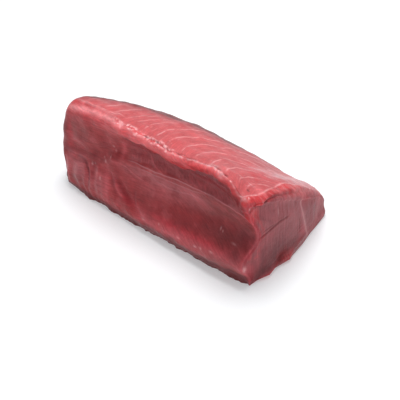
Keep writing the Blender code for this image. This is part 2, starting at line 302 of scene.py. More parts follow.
def front_y(x, z, height):
    """The front face at height z."""
    seam = along(x, SEAM_HEIGHT)
    rim = along(x, RIM_HEIGHT)
    rim_width = np.where(z < rim, RIM_WIDTH_BELOW * rim, RIM_WIDTH_ABOVE)
    upward = smooth(z / height)
    y = along(x, FOOT_Y) * (1.0 - upward) + along(x, RIDGE_SETBACK) * upward
    y = y - along(x, LIP_OUT) * bump(z - (height - LIP_DROP), LIP_WIDTH)
    y = y + along(x, RECESS_IN) * bump(z - (seam + RECESS_RISE), RECESS_WIDTH)
    y = y - along(x, SEAM_OUT) * bump(z - seam, SEAM_WIDTH)
    y = y + along(x, HOLLOW_IN) * bump(z - (seam - HOLLOW_DROP), HOLLOW_WIDTH)
    y = y - along(x, RIM_OUT) * bump(z - rim, rim_width)
    knob_top = smooth((z - (height - KNOB_DEPTH)) / KNOB_BLEND)
    y = y - KNOB_OUT * bump(x - KNOB_X, KNOB_SPREAD) * knob_top

    # Folds that hang from the seam, and the groove that sweeps down from their last one
    below_seam = smooth((seam - z) / SEAM_BLEND)
    hang = below_seam * smooth(z / FOLD_FOOT) * smooth((FOLD_LAST_X - x) / FOLD_FADE)
    fold_place = x + FOLD_LEAN * z + FOLD_DRIFT * np.sin(x / FOLD_DRIFT_LENGTH)
    y = y - FOLD_DEPTH * hang * np.sin(2.0 * math.pi * fold_place / FOLD_PITCH)
    sweep_x = SWEEP_START_X + SWEEP_SLOPE * (seam - z)
    swept = below_seam * rise(z, SWEEP_END_Z, SEAM_BLEND)
    return y + SWEEP_DEPTH * swept * bump(x - sweep_x, SWEEP_WIDTH)


def section(x, side, part):
    """(y, z) of the ring's points at x."""
    height = ridge_height(x)
    rounding = along(x, RIDGE_ROUNDING)
    back_y = along(x, BACK_Y)
    back_z = along(x, BACK_HEIGHT)
    power = along(x, BELLY_POWER)

    # Front face, from the foot up to the ridge, which it rounds
    z_front = height * np.where(side == FRONT, part, 0.0)
    into = np.clip((z_front - (height - rounding)) / rounding, 0.0, 1.0)
    y_front = front_y(x, z_front, height) + rounding * (1.0 - np.sqrt(1.0 - into**2))

    # Top, from the ridge over the belly to the back
    ridge_y = front_y(x, height, height) + rounding
    across = np.where(side == TOP, part, 0.0)
    y_top = ridge_y + (back_y - ridge_y) * across
    fall = (1.0 - across**power) ** (1.0 / power)
    detail = ridge_detail(x)
    z_top = back_z + (height - detail - back_z) * fall
    z_top = z_top + detail * (1.0 - smooth(across / RIDGE_DETAIL_REACH))

    # Back and base
    down = np.where(side == BACK, part, 0.0)
    y_back = back_y - BACK_UNDERCUT * down**2
    z_back = back_z * (1.0 - down)
    foot = along(x, FOOT_Y)
    forward = np.where(side == BASE, part, 0.0)
    y_base = (back_y - BACK_UNDERCUT) * (1.0 - forward) + foot * forward

    y = np.select([side == FRONT, side == TOP, side == BACK], [y_front, y_top, y_back], y_base)
    z = np.select([side == FRONT, side == TOP, side == BACK], [z_front, z_top, z_back], 0.0)
    return y, z


def far_face_x(y, z):
    lean = FAR_LEAN * rise(z, FAR_LEAN_FOOT, FAR_LEAN_RISE)
    at_foot = smooth((FAR_CORNER_TOP - z) / FAR_CORNER_TOP)
    corner = FAR_CORNER * smooth((FAR_CORNER_Y - y) / FAR_CORNER_WIDTH) * at_foot
    return FAR_END_X + lean + corner


def near_face_x(y, z):
    front = NEAR_FRONT_SKEW * (np.clip(NEAR_CREST_Y - y, 0.0, None) / NEAR_CREST_Y) ** 2
    to_back = BACK_Y[-1] - NEAR_CREST_Y
    back = NEAR_BACK_SKEW * (np.clip(y - NEAR_CREST_Y, 0.0, None) / to_back) ** NEAR_BACK_POWER
    x = NEAR_FACE_X - front - back
    for nub_y, nub_z, size in NUBS:
        x = x + size * bump(y - nub_y, NUB_SPREAD) * bump(z - nub_z, NUB_SPREAD)
    return x


def near_roundings(side, part):
    """How far each ring point's edge is rounded at the near end."""
    to_top = np.where(side == FRONT, rise(part, *NEAR_ROUNDING_CREST), 1.0)
    to_back = np.where(side == TOP, rise(part, *NEAR_ROUNDING_BELLY), np.where(side == FRONT, 0.0, 1.0))
    near = NEAR_ROUNDING_FRONT + (NEAR_ROUNDING_TOP - NEAR_ROUNDING_FRONT) * to_top
    return near + (NEAR_ROUNDING_BACK - near) * to_back


def edge_share(z):
    """The rounding dies out at the base, whose edge is sharp."""
    return EDGE_SHARP_SHARE + (1.0 - EDGE_SHARP_SHARE) * smooth(z / EDGE_SHARP_HEIGHT)


def surface_relief(x, y, z):
    """Points moved a little along y and z, so that the cut looks hand made. The base stays flat."""
    size = SURFACE_SIZE * smooth(z / SURFACE_RISE)
    shift_y = size * waves(x, y, z, SURFACE_WAVES, *SURFACE_LENGTHS, LUMP_SEED + 1)
    shift_z = size * waves(x, y, z, SURFACE_WAVES, *SURFACE_LENGTHS, LUMP_SEED + 2)
    return y + shift_y, z + shift_z


def face_ring(edge, share, face_x, step_in):
    """A smaller ring on an end face, at this share of the way out from its middle."""
    y = FACE_CENTRE_Y + (edge[:, 1] - FACE_CENTRE_Y) * share
    z = FACE_CENTRE_Z + (edge[:, 2] - FACE_CENTRE_Z) * share
    inward = 1.0 - share
    groove = smooth(inward / STEP_START) * fall(inward, STEP_START, STEP_FADE)
    return np.stack([face_x(y, z) - step_in * groove, y, z], -1)


def loft():
    """The skin's grid of points, ring by ring from the far face to the near face, and each ring's end.

    A ring's end is 0 along the length, and goes to -1 on the far face and to 1 on the near face.
    """
    side, part = ring_parameters()
    near_round = near_roundings(side, part)
    rings = []
    ends = []

    def place(x_of):
        """The ring whose x is x_of(y, z), which needs the section at that x."""
        x = np.full(len(side), LENGTH / 2.0)
        for _ in range(SETTLING_STEPS):
            y, z = section(np.clip(x, 0.0, LENGTH), side, part)
            x = x_of(y, z)
        return x, y, z

    def inset(y, z, amount):
        """Points moved towards the middle of the section by this many millimetres, base points level."""
        to_y = FACE_CENTRE_Y - y
        to_z = np.where(side == BASE, 0.0, FACE_CENTRE_Z - z)
        reach = np.hypot(to_y, to_z) + 1e-9
        return y + to_y / reach * amount, np.maximum(z + to_z / reach * amount * (z > 0), 0.0)

    def end_ring(face_x, radius, inward, angle):
        """A ring on the rounded edge of an end face."""

        def x_of(y, z):
            return face_x(y, z) + inward * radius * edge_share(z) * (1.0 - math.sin(angle))

        x, y, z = place(x_of)
        y, z = inset(y, z, radius * edge_share(z) * (1.0 - math.cos(angle)))
        y, z = surface_relief(x, y, z)
        return np.stack([x, y, z], -1)

    for step in range(FAR_ROUNDING_RINGS, 0, -1):
        turned = step / FAR_ROUNDING_RINGS
        rings.append(end_ring(far_face_x, FAR_ROUNDING, 1.0, 0.5 * math.pi * turned))
        ends.append(-turned)

    for station in np.linspace(0.0, 1.0, STATIONS):

        def x_of(y, z):
            start = far_face_x(y, z) + FAR_ROUNDING * edge_share(z)
            end = near_face_x(y, z) - near_round * edge_share(z)
            return start + (end - start) * station

        x, y, z = place(x_of)
        y, z = surface_relief(x, y, z)
        rings.append(np.stack([x, y, z], -1))
        ends.append(0.0)

    for step in range(1, NEAR_ROUNDING_RINGS + 1):
        turned = step / NEAR_ROUNDING_RINGS
        rings.append(end_ring(near_face_x, near_round, -1.0, 0.5 * math.pi * turned))
        ends.append(turned)

    under_top = np.where(side == TOP, fall(part, *STEP_OVER_TOP), 0.0)
    under_top = np.where(side == FRONT, rise(part, *STEP_UP_FRONT), under_top)
    far_shares = [1.0 - (n / FAR_FACE_RINGS) ** FACE_RING_POWER for n in range(1, FAR_FACE_RINGS)]
    near_shares = [1.0 - (n / NEAR_FACE_RINGS) ** FACE_RING_POWER for n in range(1, NEAR_FACE_RINGS)]
    far = [face_ring(rings[0], share, far_face_x, 0.0) for share in far_shares]
    near = [face_ring(rings[-1], share, near_face_x, NEAR_STEP_IN * under_top) for share in near_shares]
    grid = np.array(far[::-1] + rings + near)
    ends = np.array([-1.0] * len(far) + ends + [1.0] * len(near))
    return grid, ends, side, part


def noise_at(points, size, seed):
    """Smooth random values from about -1 to 1, in hills about this many millimetres across."""
    shift = Vector((seed * 17.3, seed * 5.1, seed * 9.7))
    flat = (points.reshape(-1, 3) / size).tolist()
    values = np.array([noise.noise(Vector(place) + shift) for place in flat])
    return values.reshape(points.shape[:-1])


def rounded_line(points, steps=6):
    """More points, on a smooth curve through these."""
    points = np.asarray(points, float)
    padded = np.concatenate([2 * points[:1] - points[1:2], points, 2 * points[-1:] - points[-2:-1]])
    found = []
    for index in range(1, len(padded) - 2):
        before, here, after, beyond = padded[index - 1 : index + 3]
        for t in np.linspace(0.0, 1.0, steps, endpoint=False):
            found.append(
                here
                + 0.5 * t * (after - before)
                + t * t * (before - 2.5 * here + 2.0 * after - 0.5 * beyond)
                + t**3 * (-0.5 * before + 1.5 * here - 1.5 * after + 0.5 * beyond)
            )
    found.append(points[-1])
    return np.array(found)


def line_field(u, v, points, taper):
    """Signed distance to a line in a chart, and how strongly the line shows there, less at its ends."""
    line = rounded_line(points)
    lengths = np.hypot(*(line[1:] - line[:-1]).T)
    before = np.concatenate([[0.0], np.cumsum(lengths)])
    best = np.full(u.shape, 1e9)
    signed = np.zeros(u.shape)
    place = np.zeros(u.shape)
    for index, length in enumerate(lengths):
        du, dv = (line[index + 1] - line[index]) / length
        off_u = u - line[index][0]
        off_v = v - line[index][1]
        part = np.clip(off_u * du + off_v * dv, 0.0, length)
        distance = np.hypot(off_u - part * du, off_v - part * dv)
        side = np.where(du * off_v - dv * off_u < 0.0, -1.0, 1.0)
        closer = distance < best
        best = np.where(closer, distance, best)
        signed = np.where(closer, side * distance, signed)
        place = np.where(closer, before[index] + part, place)
    strength = smooth(place / taper) * smooth((before[-1] - place) / taper)
    return signed, strength


class Skin:
    """The grid of the skin with the charts that its relief and its colours are drawn in."""

    def __init__(self):
        self.grid, ends, side, part = loft()
        self.x, self.y, self.z = np.moveaxis(self.grid, -1, 0)
        self.side = np.broadcast_to(side, self.x.shape)
        self.part = np.broadcast_to(part, self.x.shape)
        self.height = ridge_height(np.clip(self.x, 0.0, LENGTH))
        self.over_seam = self.z - along(self.x, SEAM_HEIGHT)
        self.over_rim = self.z - along(self.x, RIM_HEIGHT)
        along_ring = np.roll(self.grid, -1, 1) - np.roll(self.grid, 1, 1)
        normal = np.cross(np.gradient(self.grid, axis=0), along_ring)
        self.normal = normal / (np.linalg.norm(normal, axis=-1, keepdims=True) + 1e-12)

        # Distances over the surface: from the crest, up the front and down the top, and past the near edge
        steps = np.linalg.norm(np.diff(self.grid, axis=1), axis=-1)
        over = np.concatenate([np.zeros((len(steps), 1)), np.cumsum(steps, 1)], 1)
        self.crest = over - over[:, FRONT_POINTS : FRONT_POINTS + 1]
        steps = np.linalg.norm(np.diff(self.grid, axis=0), axis=-1)
        over = np.concatenate([np.zeros((1, steps.shape[1])), np.cumsum(steps, 0)], 0)
        self.near = over - over[len(over) - (NEAR_FACE_RINGS - 1) - NEAR_ROUNDING_RINGS // 2]

        # How much each place belongs to each face, from 0 to 1
        end = np.broadcast_to(ends[:, None], self.x.shape)
        self.on_near = smooth(end)
        self.on_far = smooth(-end)
        self.on_ends = np.maximum(self.on_near, self.on_far)
        along_length = (1.0 - self.on_near) * (1.0 - self.on_far)
        self.on_front = along_length * (self.side == FRONT)
        self.on_top = along_length * (self.side == TOP)
        self.on_crown = along_length * (self.side <= TOP)
        self.on_back = along_length * (self.side == BACK)
        self.on_base = (self.side == BASE) * 1.0
        self.charts = {
            "front": (self.x, self.z, self.on_front),
            "top": (self.x, self.y, self.on_top),
            "crest": (self.x, self.crest, self.on_crown),
            "near": (self.y, self.z, self.on_near),
            "far": (self.y, self.z, self.on_far),
        }
        self.lines = {}
        for name, (chart, points, taper) in LINES.items():
            u, v, on = self.charts[chart]
            distance, strength = line_field(u, v, points, taper)
            self.lines[name] = (distance, strength * on)

    def patch(self, chart, u, v, reach_u, reach_v, turn=0.0):
        """A soft round patch in a chart, turned by this many degrees."""
        place_u, place_v, on = self.charts[chart]
        turn = math.radians(turn)
        off_u = (place_u - u) * math.cos(turn) + (place_v - v) * math.sin(turn)
        off_v = (place_v - v) * math.cos(turn) - (place_u - u) * math.sin(turn)
        return on * np.exp(-((off_u / reach_u) ** 2) - (off_v / reach_v) ** 2)

    def patches(self, rows):
        """Soft patches together, from rows of a patch's place and its height or amount."""
        return sum(amount * self.patch(*place) for *place, amount in rows)

    def line(self, name, width):
        distance, strength = self.lines[name]
        return strength * bump(distance, width)


# Pale line along the crest, partly a pale strip and partly a painted highlight: x, distance over the surface
# from the crest
CREST_LINE = (
    (0, -11.5), (13, -10.5), (25, -8.8), (36, -8.0), (48, -6.7), (63, -5.2), (80, -4.8), (108, -4.4),
    (124, -4.6), (135, -2.2), (147, -1.4), (160, -1.8), (172, 0.6), (181, 1.4), (192, 0.0), (200, -0.8),
    (212, -1.5), (240, -2.0),
)

# Lower edge of the red band under the crest: x, drop below the crest
BAND_EDGE = (
    (0, 8), (30, 7), (75, 7), (86, 8), (97, 10), (105, 9.5), (113, 6.5), (119, 8), (123, 14), (130, 12),
    (136, 8.7), (146, 9.8), (153, 13), (160, 13), (168, 7), (178, 3.6), (195, 3.4), (201, 4), (208, 2.6),
    (215, 2.2), (221, 4.5), (226, 6), (230, 11), (234, 22), (240, 26),
)

# Trim band over the near end's top edge: y, reach over the top, reach down the end
TRIM = (
    (-12, 6, 3), (-6, 8.5, 4), (0, 7.3, 9.5), (6, 6.4, 11), (9, 6.3, 6.6), (15, 8, 1.8), (21, 9.3, -0.6),
    (37, 12.3, -2), (50, 14.5, -2), (58, 14.6, -0.6), (68, 11.2, -2), (85, 6.5, -3), (100, 3, -3),
)
TRIM_FROM_X = 200.0
TRIM_FROM_DROP = 12.0

# Where the top turns brown towards the back, at even steps of the length: partly darker flesh, partly painted
# shade where the top turns away from the lamp
BACK_EDGE_Y = (28.0, 43.0, 58.0, 75.0, 92.0, 103.0, 112.0)

# Small spots that catch the light: chart, middle, reach both ways, height, amount of pale colour, which is a
# painted highlight
GLINT_SPECKS = (
    ("front", 71.3, 75.5, 1.2, 0.9, 0.3, 0.30), ("front", 74.0, 71.5, 0.8, 1.4, 0.2, 0.22),
    ("front", 69.2, 63.3, 0.6, 1.4, 0.3, 0.30), ("front", 62.3, 55.5, 1.3, 1.5, 0.3, 0.35),
    ("front", 59.8, 58.5, 0.8, 1.0, 0.2, 0.25), ("front", 43.6, 44.3, 1.4, 1.6, 0.3, 0.30),
    ("front", 47.5, 46.0, 1.0, 0.8, 0.2, 0.22), ("front", 55.8, 34.0, 0.8, 1.6, 0.3, 0.45),
    ("front", 51.5, 39.0, 0.9, 5.0, 0.2, 0.15), ("front", 203.5, 46.7, 0.5, 1.5, 0.2, 0.35),
    ("front", 206.4, 45.2, 0.5, 1.0, 0.2, 0.30), ("front", 221.6, 40.3, 2.4, 0.6, 0.2, 0.30),
    ("front", 183.6, 22.5, 1.6, 0.8, 0.3, 0.45), ("front", 190.5, 24.0, 1.4, 0.7, 0.3, 0.35),
    ("front", 202.5, 26.2, 2.2, 0.7, 0.3, 0.45), ("front", 162.7, 21.0, 1.8, 0.9, 0.3, 0.30),
    ("front", 116.0, 17.0, 1.8, 0.9, 0.3, 0.30), ("front", 136.8, 22.3, 0.8, 0.8, 0.3, 0.35),
    ("near", -10.7, 23.5, 1.4, 3.4, 0.4, 0.70), ("near", 29.6, 67.6, 0.6, 3.6, 0.2, 0.40),
    ("near", -6.4, 89.0, 1.0, 1.6, 0.4, 0.70), ("top", 64.5, 10.6, 6.0, 1.0, 0.2, 0.45),
    ("top", 70.6, 13.2, 5.0, 0.8, 0.2, 0.50), ("top", 52.4, 10.9, 3.0, 0.8, 0.2, 0.40),
    ("top", 120.6, 3.6, 1.8, 0.8, 0.4, 0.70), ("top", 130.5, 3.7, 2.2, 0.7, 0.4, 0.70),
    ("top", 98.5, 5.1, 2.0, 0.9, 0.4, 0.55), ("top", 142.5, 5.8, 1.4, 0.9, 0.4, 0.70),
    ("top", 79.8, 5.0, 1.8, 1.0, 0.3, 0.50), ("top", 214.0, 12.0, 1.0, 0.8, 0.2, 0.50),
    ("top", 224.0, 14.0, 2.4, 0.7, 0.2, 0.35),
)

# Small hollows, painted dark as shade: chart, middle, reach both ways, depth
HOLES = (
    ("crest", 209.5, 1.0, 1.8, 1.3, 1.6), ("crest", 201.0, 2.2, 2.2, 0.9, 0.8),
    ("crest", 196.0, 1.6, 1.6, 0.8, 0.6), ("crest", 152.0, 0.8, 2.4, 0.8, 0.7),
    ("crest", 163.0, 1.6, 3.0, 0.7, 0.6), ("crest", 128.0, -0.6, 2.6, 0.8, 0.6),
    ("crest", 113.0, -0.8, 2.0, 0.8, 0.5), ("top", 228.6, 5.2, 1.4, 1.2, 0.6),
)

# Where forms and colours come in or go out, in millimetres: the place where that starts, and how far it takes
RAGGED_FROM_X = (40, 30)
LOBES_FROM_CREST = (-16, 5)
LOBES_UNTIL_CREST = (1, 6)
PEBBLES_FROM_X = (50, 30)
PEBBLES_UNTIL_X = (160, 20)
LIP_FROM_X = (70, 35)
LEDGE_FROM_X = (70, 30)
LEDGE_CUT_FROM_X = (80, 12)
LEDGE_CUT_UNTIL_X = (145, 25)
RECESS_FROM_X = (84, 14)
CURTAIN_FROM_X = (36, 10)
CURTAIN_UNTIL_X = (66, 8)
BAND_FROM_X = (60, 35)
BAND_RED_FROM_X = (212, 8)
RIM_FROM_X = (96, 20)
CREASE_FADES_FROM_Y = (50, 20)
FRINGE_FROM_Y = (32, 6)
FRINGE_UNTIL_Y = (70, 10)
BACK_CORNER_FROM_X = (215, 15)
BACK_CORNER_FROM_Y = (92, 22)

# Forms of the skin, in millimetres
PEBBLE_SIZE = 2.0
CURTAIN_PITCH = 7.5
CURTAIN_DEPTH = 0.12
CURTAIN_LEAN = 0.05
CURTAIN_DRIFT = 3.2
FRINGE_HEIGHT = 12.5
TRIM_HEIGHT = 0.9
CREASE_DEPTH = 1.0
LAYER_PITCH = 16.0
LAYER_WIDTH = 1.3
LAYER_HEIGHT = 0.15
LEVEL_FOOT = 4.0

# Relief of the lines: line, half width, height
LINE_RELIEF = (
    ("crest_gap", 0.8, -0.35), ("seam", 0.9, 0.30), ("seam", 3.0, -0.2), ("strand_far", 0.9, 0.22),
    ("strand_high", 0.9, 0.22), ("strand_middle", 0.9, 0.22), ("strand_low", 0.9, 0.22),
    ("tongue_edge", 2.4, -0.6), ("groove", 3.6, -0.2), ("fold_light", 1.5, 0.6), ("cleft", 1.4, -0.5),
    ("high_fold", 2.6, 0.5), ("far_streak", 2.2, 0.4), ("fissure", 1.2, -0.45), ("fissure_high", 1.0, -0.3),
    ("slit", 1.2, -0.6), ("membrane", 1.6, 0.4), ("wedge", 2.4, -0.7),
)

# Nub, second nub and the gap beside the first, at the near end's foot: chart, middle, reach both ways, height
NEAR_NUB = ("near", 42.4, 6.0, 3.2, 6.0)
NEAR_FOOT = ((*NEAR_NUB, 3.4), ("near", 17.5, 2.5, 3.6, 2.6, 2.4), ("near", 36.6, 10.0, 2.4, 6.5, -2.8))

# Ragged foot: how high it reaches, how far in, how much the front is drawn in at even steps of the length,
# sizes and heights of its lobes, single lobes and bites as middle, half width and height, and its limits
FOOT_HEIGHT = 7.0
FOOT_REACH = 24.0
FOOT_PULL = (3.2, 0.2, 0.0, 2.4, 2.9, 1.7, 0.0)
FOOT_LOBES = ((9.0, 1.5), (4.2, 1.1), (2.0, 0.5))
FOOT_FRONT = ((38.0, 7.0, 1.4), (57.0, 8.0, -3.0), (70.0, 6.0, 1.4))
FOOT_FRONT_LIMITS = (-4.6, 1.6)
FOOT_NEAR = ((17.0, 13.0, -3.8), (97.0, 9.0, -1.4))
FOOT_NEAR_DRAWN_IN = 0.3
FOOT_NEAR_LIMITS = (-5.5, 1.6)

# Slow bulges of the outline: up the far end as middle, half width and height, and over the top as patches
FAR_PROFILE = ((25.0, 10.0, 3.4), (43.0, 9.0, -1.3), (64.0, 12.0, -1.2), (98.0, 8.0, 0.9))
TOP_SWELLS = (
    ("top", 84, 72, 48, 26, 2.1), ("top", 48, 52, 22, 16, 1.7), ("top", 174, 92, 28, 18, 1.4),
    ("top", 226, 106, 16, 14, 2.6), ("top", 20, 34, 16, 10, 1.0),
)

# Thin skin near the back of the top, its pale colour partly a painted sheen: chart, middle, reach both ways,
# turn in degrees, amount
VEIL_AND_SHEEN = (
    ("top", 212, 56, 30, 10, 62, 0.6), ("top", 224, 86, 28, 13, 80, 1.0),
    ("top", 196, 80, 22, 12, 70, 0.7),
)
VEIL_WETNESS = (("top", 212, 56, 26, 8, 62, 0.30), ("top", 224, 84, 26, 10, 80, 0.30))


def hills(place, rows):
    """Smooth hills together, from rows of middle, half width and height."""
    return sum(height * bump(place - middle, width) for middle, width, height in rows)


def layer_phase(skin):
    """Which muscle layer each place is in: a whole number on each arc, and smooth between the arcs."""
    y = np.clip(skin.y - front_y(skin.x, skin.height, skin.height), 0.0, 200.0)
    crossings = []
    for arc in LAYER_ARCS:
        arc_y, arc_x = np.array(arc, float).T
        slope = (arc_x[-1] - arc_x[-2]) / (arc_y[-1] - arc_y[-2])
        crossings.append(np.interp(y, arc_y, arc_x) + slope * np.clip(y - arc_y[-1], 0.0, None))
    phase = np.zeros(y.shape)
    for low, high in zip(crossings[:-1], crossings[1:]):
        phase += np.clip((skin.x - low) / (high - low), 0.0, 1.0)
    return phase


def band_below(skin):
    """How far each place of the front lies below the lower edge of the red band, in millimetres."""
    edge_x, edge_drop = np.array(BAND_EDGE, float).T
    ragged = 1.9 * noise_at(skin.grid, 10.0, 3) + 1.2 * noise_at(skin.grid, 4.0, 4)
    return skin.height - np.interp(skin.x, edge_x, edge_drop) - skin.z + ragged


def off_crest_line(skin):
    """How far each place lies from the pale crest line over the surface, positive on the top's side."""
    line_x, line_crest = np.array(CREST_LINE, float).T
    wander = 0.7 * noise_at(skin.grid, 7.0, 31) + 0.4 * noise_at(skin.grid, 3.0, 32)
    return skin.crest - np.interp(skin.x, line_x, line_crest) + wander


def trim_band(skin):
    """How far each place lies inside the upper edge of the near end's trim band, and past its lower edge."""
    trim_y, over, down = np.array(TRIM, float).T
    ragged = 0.8 * noise_at(skin.grid, 6.0, 9)
    inside = skin.near + np.interp(skin.y, trim_y, over) + 0.6 * ragged
    past = skin.near - np.interp(skin.y, trim_y, down) + ragged
    front_top = (skin.side == FRONT) & (skin.z > skin.height - TRIM_FROM_DROP)
    at_top = ((skin.side == TOP) | front_top) & (skin.x > TRIM_FROM_X)
    return inside, past, at_top * 1.0


def fringe(skin):
    """Ragged trimmings along the foot of the near end."""
    ragged = noise_at(skin.grid, 4.0, 13)
    low = smooth((FRINGE_HEIGHT + 3.0 * ragged - skin.z) / 3.0)
    return skin.on_near * low * rise(skin.y, *FRINGE_FROM_Y) * fall(skin.y, *FRINGE_UNTIL_Y)


def recess(skin):
    """The dark hollow between the red band and the seam."""
    between = rise(skin.over_seam, -1, 3.5) * rise(band_below(skin), 0.2, 1.6)
    return skin.on_front * between * rise(skin.x, *RECESS_FROM_X)


def specks(skin, of_height):
    """The small spots together: their height, or else their amount of pale colour, a painted highlight."""
    total = np.zeros(skin.x.shape)
    for *place, height, amount in GLINT_SPECKS:
        total = np.maximum(total, skin.patch(*place) * (height if of_height else amount))
    return total


def ridge_relief(skin):
    """Torn flesh in small lobes, with pebbles on the ridge's far half and on the knob."""
    x, grid = skin.x, skin.grid
    off_line = off_crest_line(skin)
    on_ridge = skin.on_crown * rise(x, *RAGGED_FROM_X)
    lobed = on_ridge * rise(skin.crest, *LOBES_FROM_CREST) * fall(skin.crest, *LOBES_UNTIL_CREST)
    stretched = grid * (0.7, 1.0, 1.5)
    relief = lobed * (0.7 * noise_at(stretched, 6.5, 15) + 0.45 * noise_at(stretched, 3.4, 1))
    pebbled = rise(x, *PEBBLES_FROM_X) * fall(x, *PEBBLES_UNTIL_X) + bump(x - KNOB_X - 2.0, 10.0)
    at_line = on_ridge * bump(off_line - 1.0, 4.0)
    relief += at_line * (0.2 + 0.8 * pebbled) * 0.45 * noise_at(grid, PEBBLE_SIZE, 2)
    relief += on_ridge * (0.35 * bump(off_line, 1.6) - 0.15 * bump(off_line - 3.4, 1.3) * pebbled)
    return relief - skin.patches(HOLES)


def front_relief(skin):
    """The red band's edge over the recess, the seam's ledge, the hanging folds and the lumps of the rim."""
    x, z, grid = skin.x, skin.z, skin.grid
    below = band_below(skin)
    lip = rise(x, *LIP_FROM_X)
    edge = np.where(below < 0.0, np.exp(np.minimum(below, 0.0) / 3.0), bump(below, 0.7))
    relief = 0.35 * lip * edge - 1.3 * lip * smooth(below / 3.5) * np.exp(-np.clip(below, 0.0, None) / 8.0)

    ledge = bump(skin.over_seam, 9.0) * rise(x, *LEDGE_FROM_X)
    relief += ledge * (0.9 * noise_at(grid * (0.5, 1.0, 1.0), 8.0, 38) + 0.35 * noise_at(grid, 4.0, 39))
    cut = rise(x, *LEDGE_CUT_FROM_X) * fall(x, *LEDGE_CUT_UNTIL_X)
    relief -= 1.1 * ledge * cut * bump(skin.over_seam - 0.5, 3.5)

    curtain = rise(x, *CURTAIN_FROM_X) * fall(x, *CURTAIN_UNTIL_X)
    curtain *= smooth(-skin.over_seam / 6.0) * smooth(z / 10.0)
    place = x + CURTAIN_LEAN * z + CURTAIN_DRIFT * noise_at(grid, 20.0, 5)
    relief += CURTAIN_DEPTH * curtain * np.sin(2.0 * math.pi * place / CURTAIN_PITCH)
    lumps = 0.45 * noise_at(grid, 7.0, 6) + 0.22 * noise_at(grid, 2.8, 7)
    return skin.on_front * (relief + bump(skin.over_rim, 9.0) * lumps)


def end_relief(skin):
    """The near end's trim band and its crease, the upright grain of both ends, fissures and trimmings."""
    x, y, z, grid = skin.x, skin.y, skin.z, skin.grid
    inside, past, at_top = trim_band(skin)
    band = at_top * smooth(inside / 2.5) * fall(past, -1.6, 1.6)
    crease = at_top * bump(past - 0.5, 1.4) * (1.0 - 0.5 * rise(y, *CREASE_FADES_FROM_Y))
    relief = TRIM_HEIGHT * band - CREASE_DEPTH * crease
    relief += band * (0.5 * noise_at(grid, 5.0, 33) + 0.3 * noise_at(grid, 2.4, 34))
    stretched = np.stack([x / 30.0, y / 2.6, z / 34.0], -1)
    grain = noise_at(stretched, 1.0, 11) + 0.5 * noise_at(stretched * (1.0, 2.1, 1.4), 1.0, 12)
    relief += skin.on_ends * (0.22 * grain + 0.4 * noise_at(grid, 15.0, 14))
    distance, strength = skin.lines["fissure"]
    relief += 0.3 * bump(distance + 1.6, 1.0) * strength
    relief += fringe(skin) * (0.3 + 1.3 * np.abs(noise_at(grid, 5.0, 16)))
    return relief + skin.patches(NEAR_FOOT) + 0.9 * noise_at(grid, 2.4, 44) * skin.patch(*NEAR_NUB)


def fine_relief(skin):
    """How far each point moves out along its normal."""
    relief = ridge_relief(skin) + front_relief(skin) + end_relief(skin) + specks(skin, of_height=True)
    relief += sum(height * skin.line(name, width) for name, width, height in LINE_RELIEF)
    relief += 0.35 * noise_at(skin.grid, 22.0, 8) + 0.10 * noise_at(skin.grid, 4.5, 10)
    phase = layer_phase(skin)
    relief += LAYER_HEIGHT * skin.on_top * bump((phase - np.round(phase)) * LAYER_PITCH, LAYER_WIDTH)
    return relief * smooth(skin.z / LEVEL_FOOT)


def foot_shift(skin):
    """Small bites and lobes along the foot of the front and of the near end: how far each point moves out."""

    def lobes(place, seed):
        line = np.stack([place, 0.0 * place, 0.0 * place], -1)
        return sum(size * noise_at(line, length, seed + n) for n, (length, size) in enumerate(FOOT_LOBES))

    low = 1.0 - smooth(skin.z / FOOT_HEIGHT)
    front = lobes(skin.x, 17) * rise(skin.x, 12, 16) - along(skin.x, FOOT_PULL) + hills(skin.x, FOOT_FRONT)
    front = np.clip(front, *FOOT_FRONT_LIMITS)
    front *= smooth((along(skin.x, FOOT_Y) + FOOT_REACH - skin.y) / FOOT_REACH)
    near = lobes(skin.y, 47) - FOOT_NEAR_DRAWN_IN + hills(skin.y, FOOT_NEAR)
    near = np.clip(near, *FOOT_NEAR_LIMITS)
    near *= smooth((skin.x - near_face_x(skin.y, skin.z) + FOOT_REACH) / FOOT_REACH)
    return low * front, low * near


def outline_shift(skin):
    """Slow bulges and hollows of the outline: how far each point moves along x and along z."""
    along_x = smooth((16.0 - skin.x) / 16.0) * smooth(skin.z / 6.0) * hills(skin.z, FAR_PROFILE)
    back_corner = rise(skin.y, *BACK_CORNER_FROM_Y) * rise(skin.x, *BACK_CORNER_FROM_X)
    along_x -= (0.6 + 2.2 * rise(skin.z, 4, 10)) * back_corner
    return along_x, skin.patches(TOP_SWELLS)


# Colours of the flesh under white light, as sRGB out of 255. Several are also laid where they stand in for
# light and shade: crest and pale as painted highlights, grey and the thin skin's pale pink partly as painted
# sheen, band and rim partly as painted light, and shade, deep, maroon, recess, edge and foot partly as
# painted shade.
PALETTE = {
    "top": (202, 92, 95),
    "top_red": (196, 70, 76),
    "crest": (232, 122, 126),
    "pale": (248, 186, 188),
    "band": (212, 62, 66),
    "deep": (150, 30, 36),
    "shade": (118, 8, 14),
    "trim": (206, 64, 68),
    "front": (160, 56, 59),
    "back": (166, 78, 82),
    "brown": (128, 66, 66),
    "grey": (176, 94, 99),
    "recess": (140, 52, 58),
    "maroon": (124, 50, 55),
    "dark": (130, 40, 45),
    "crimson": (182, 50, 62),
    "rim": (200, 92, 99),
    "edge": (104, 44, 46),
    "foot": (108, 52, 55),
    "end": (160, 82, 87),
    "end_dark": (114, 58, 62),
    "veil": (214, 158, 162),
}

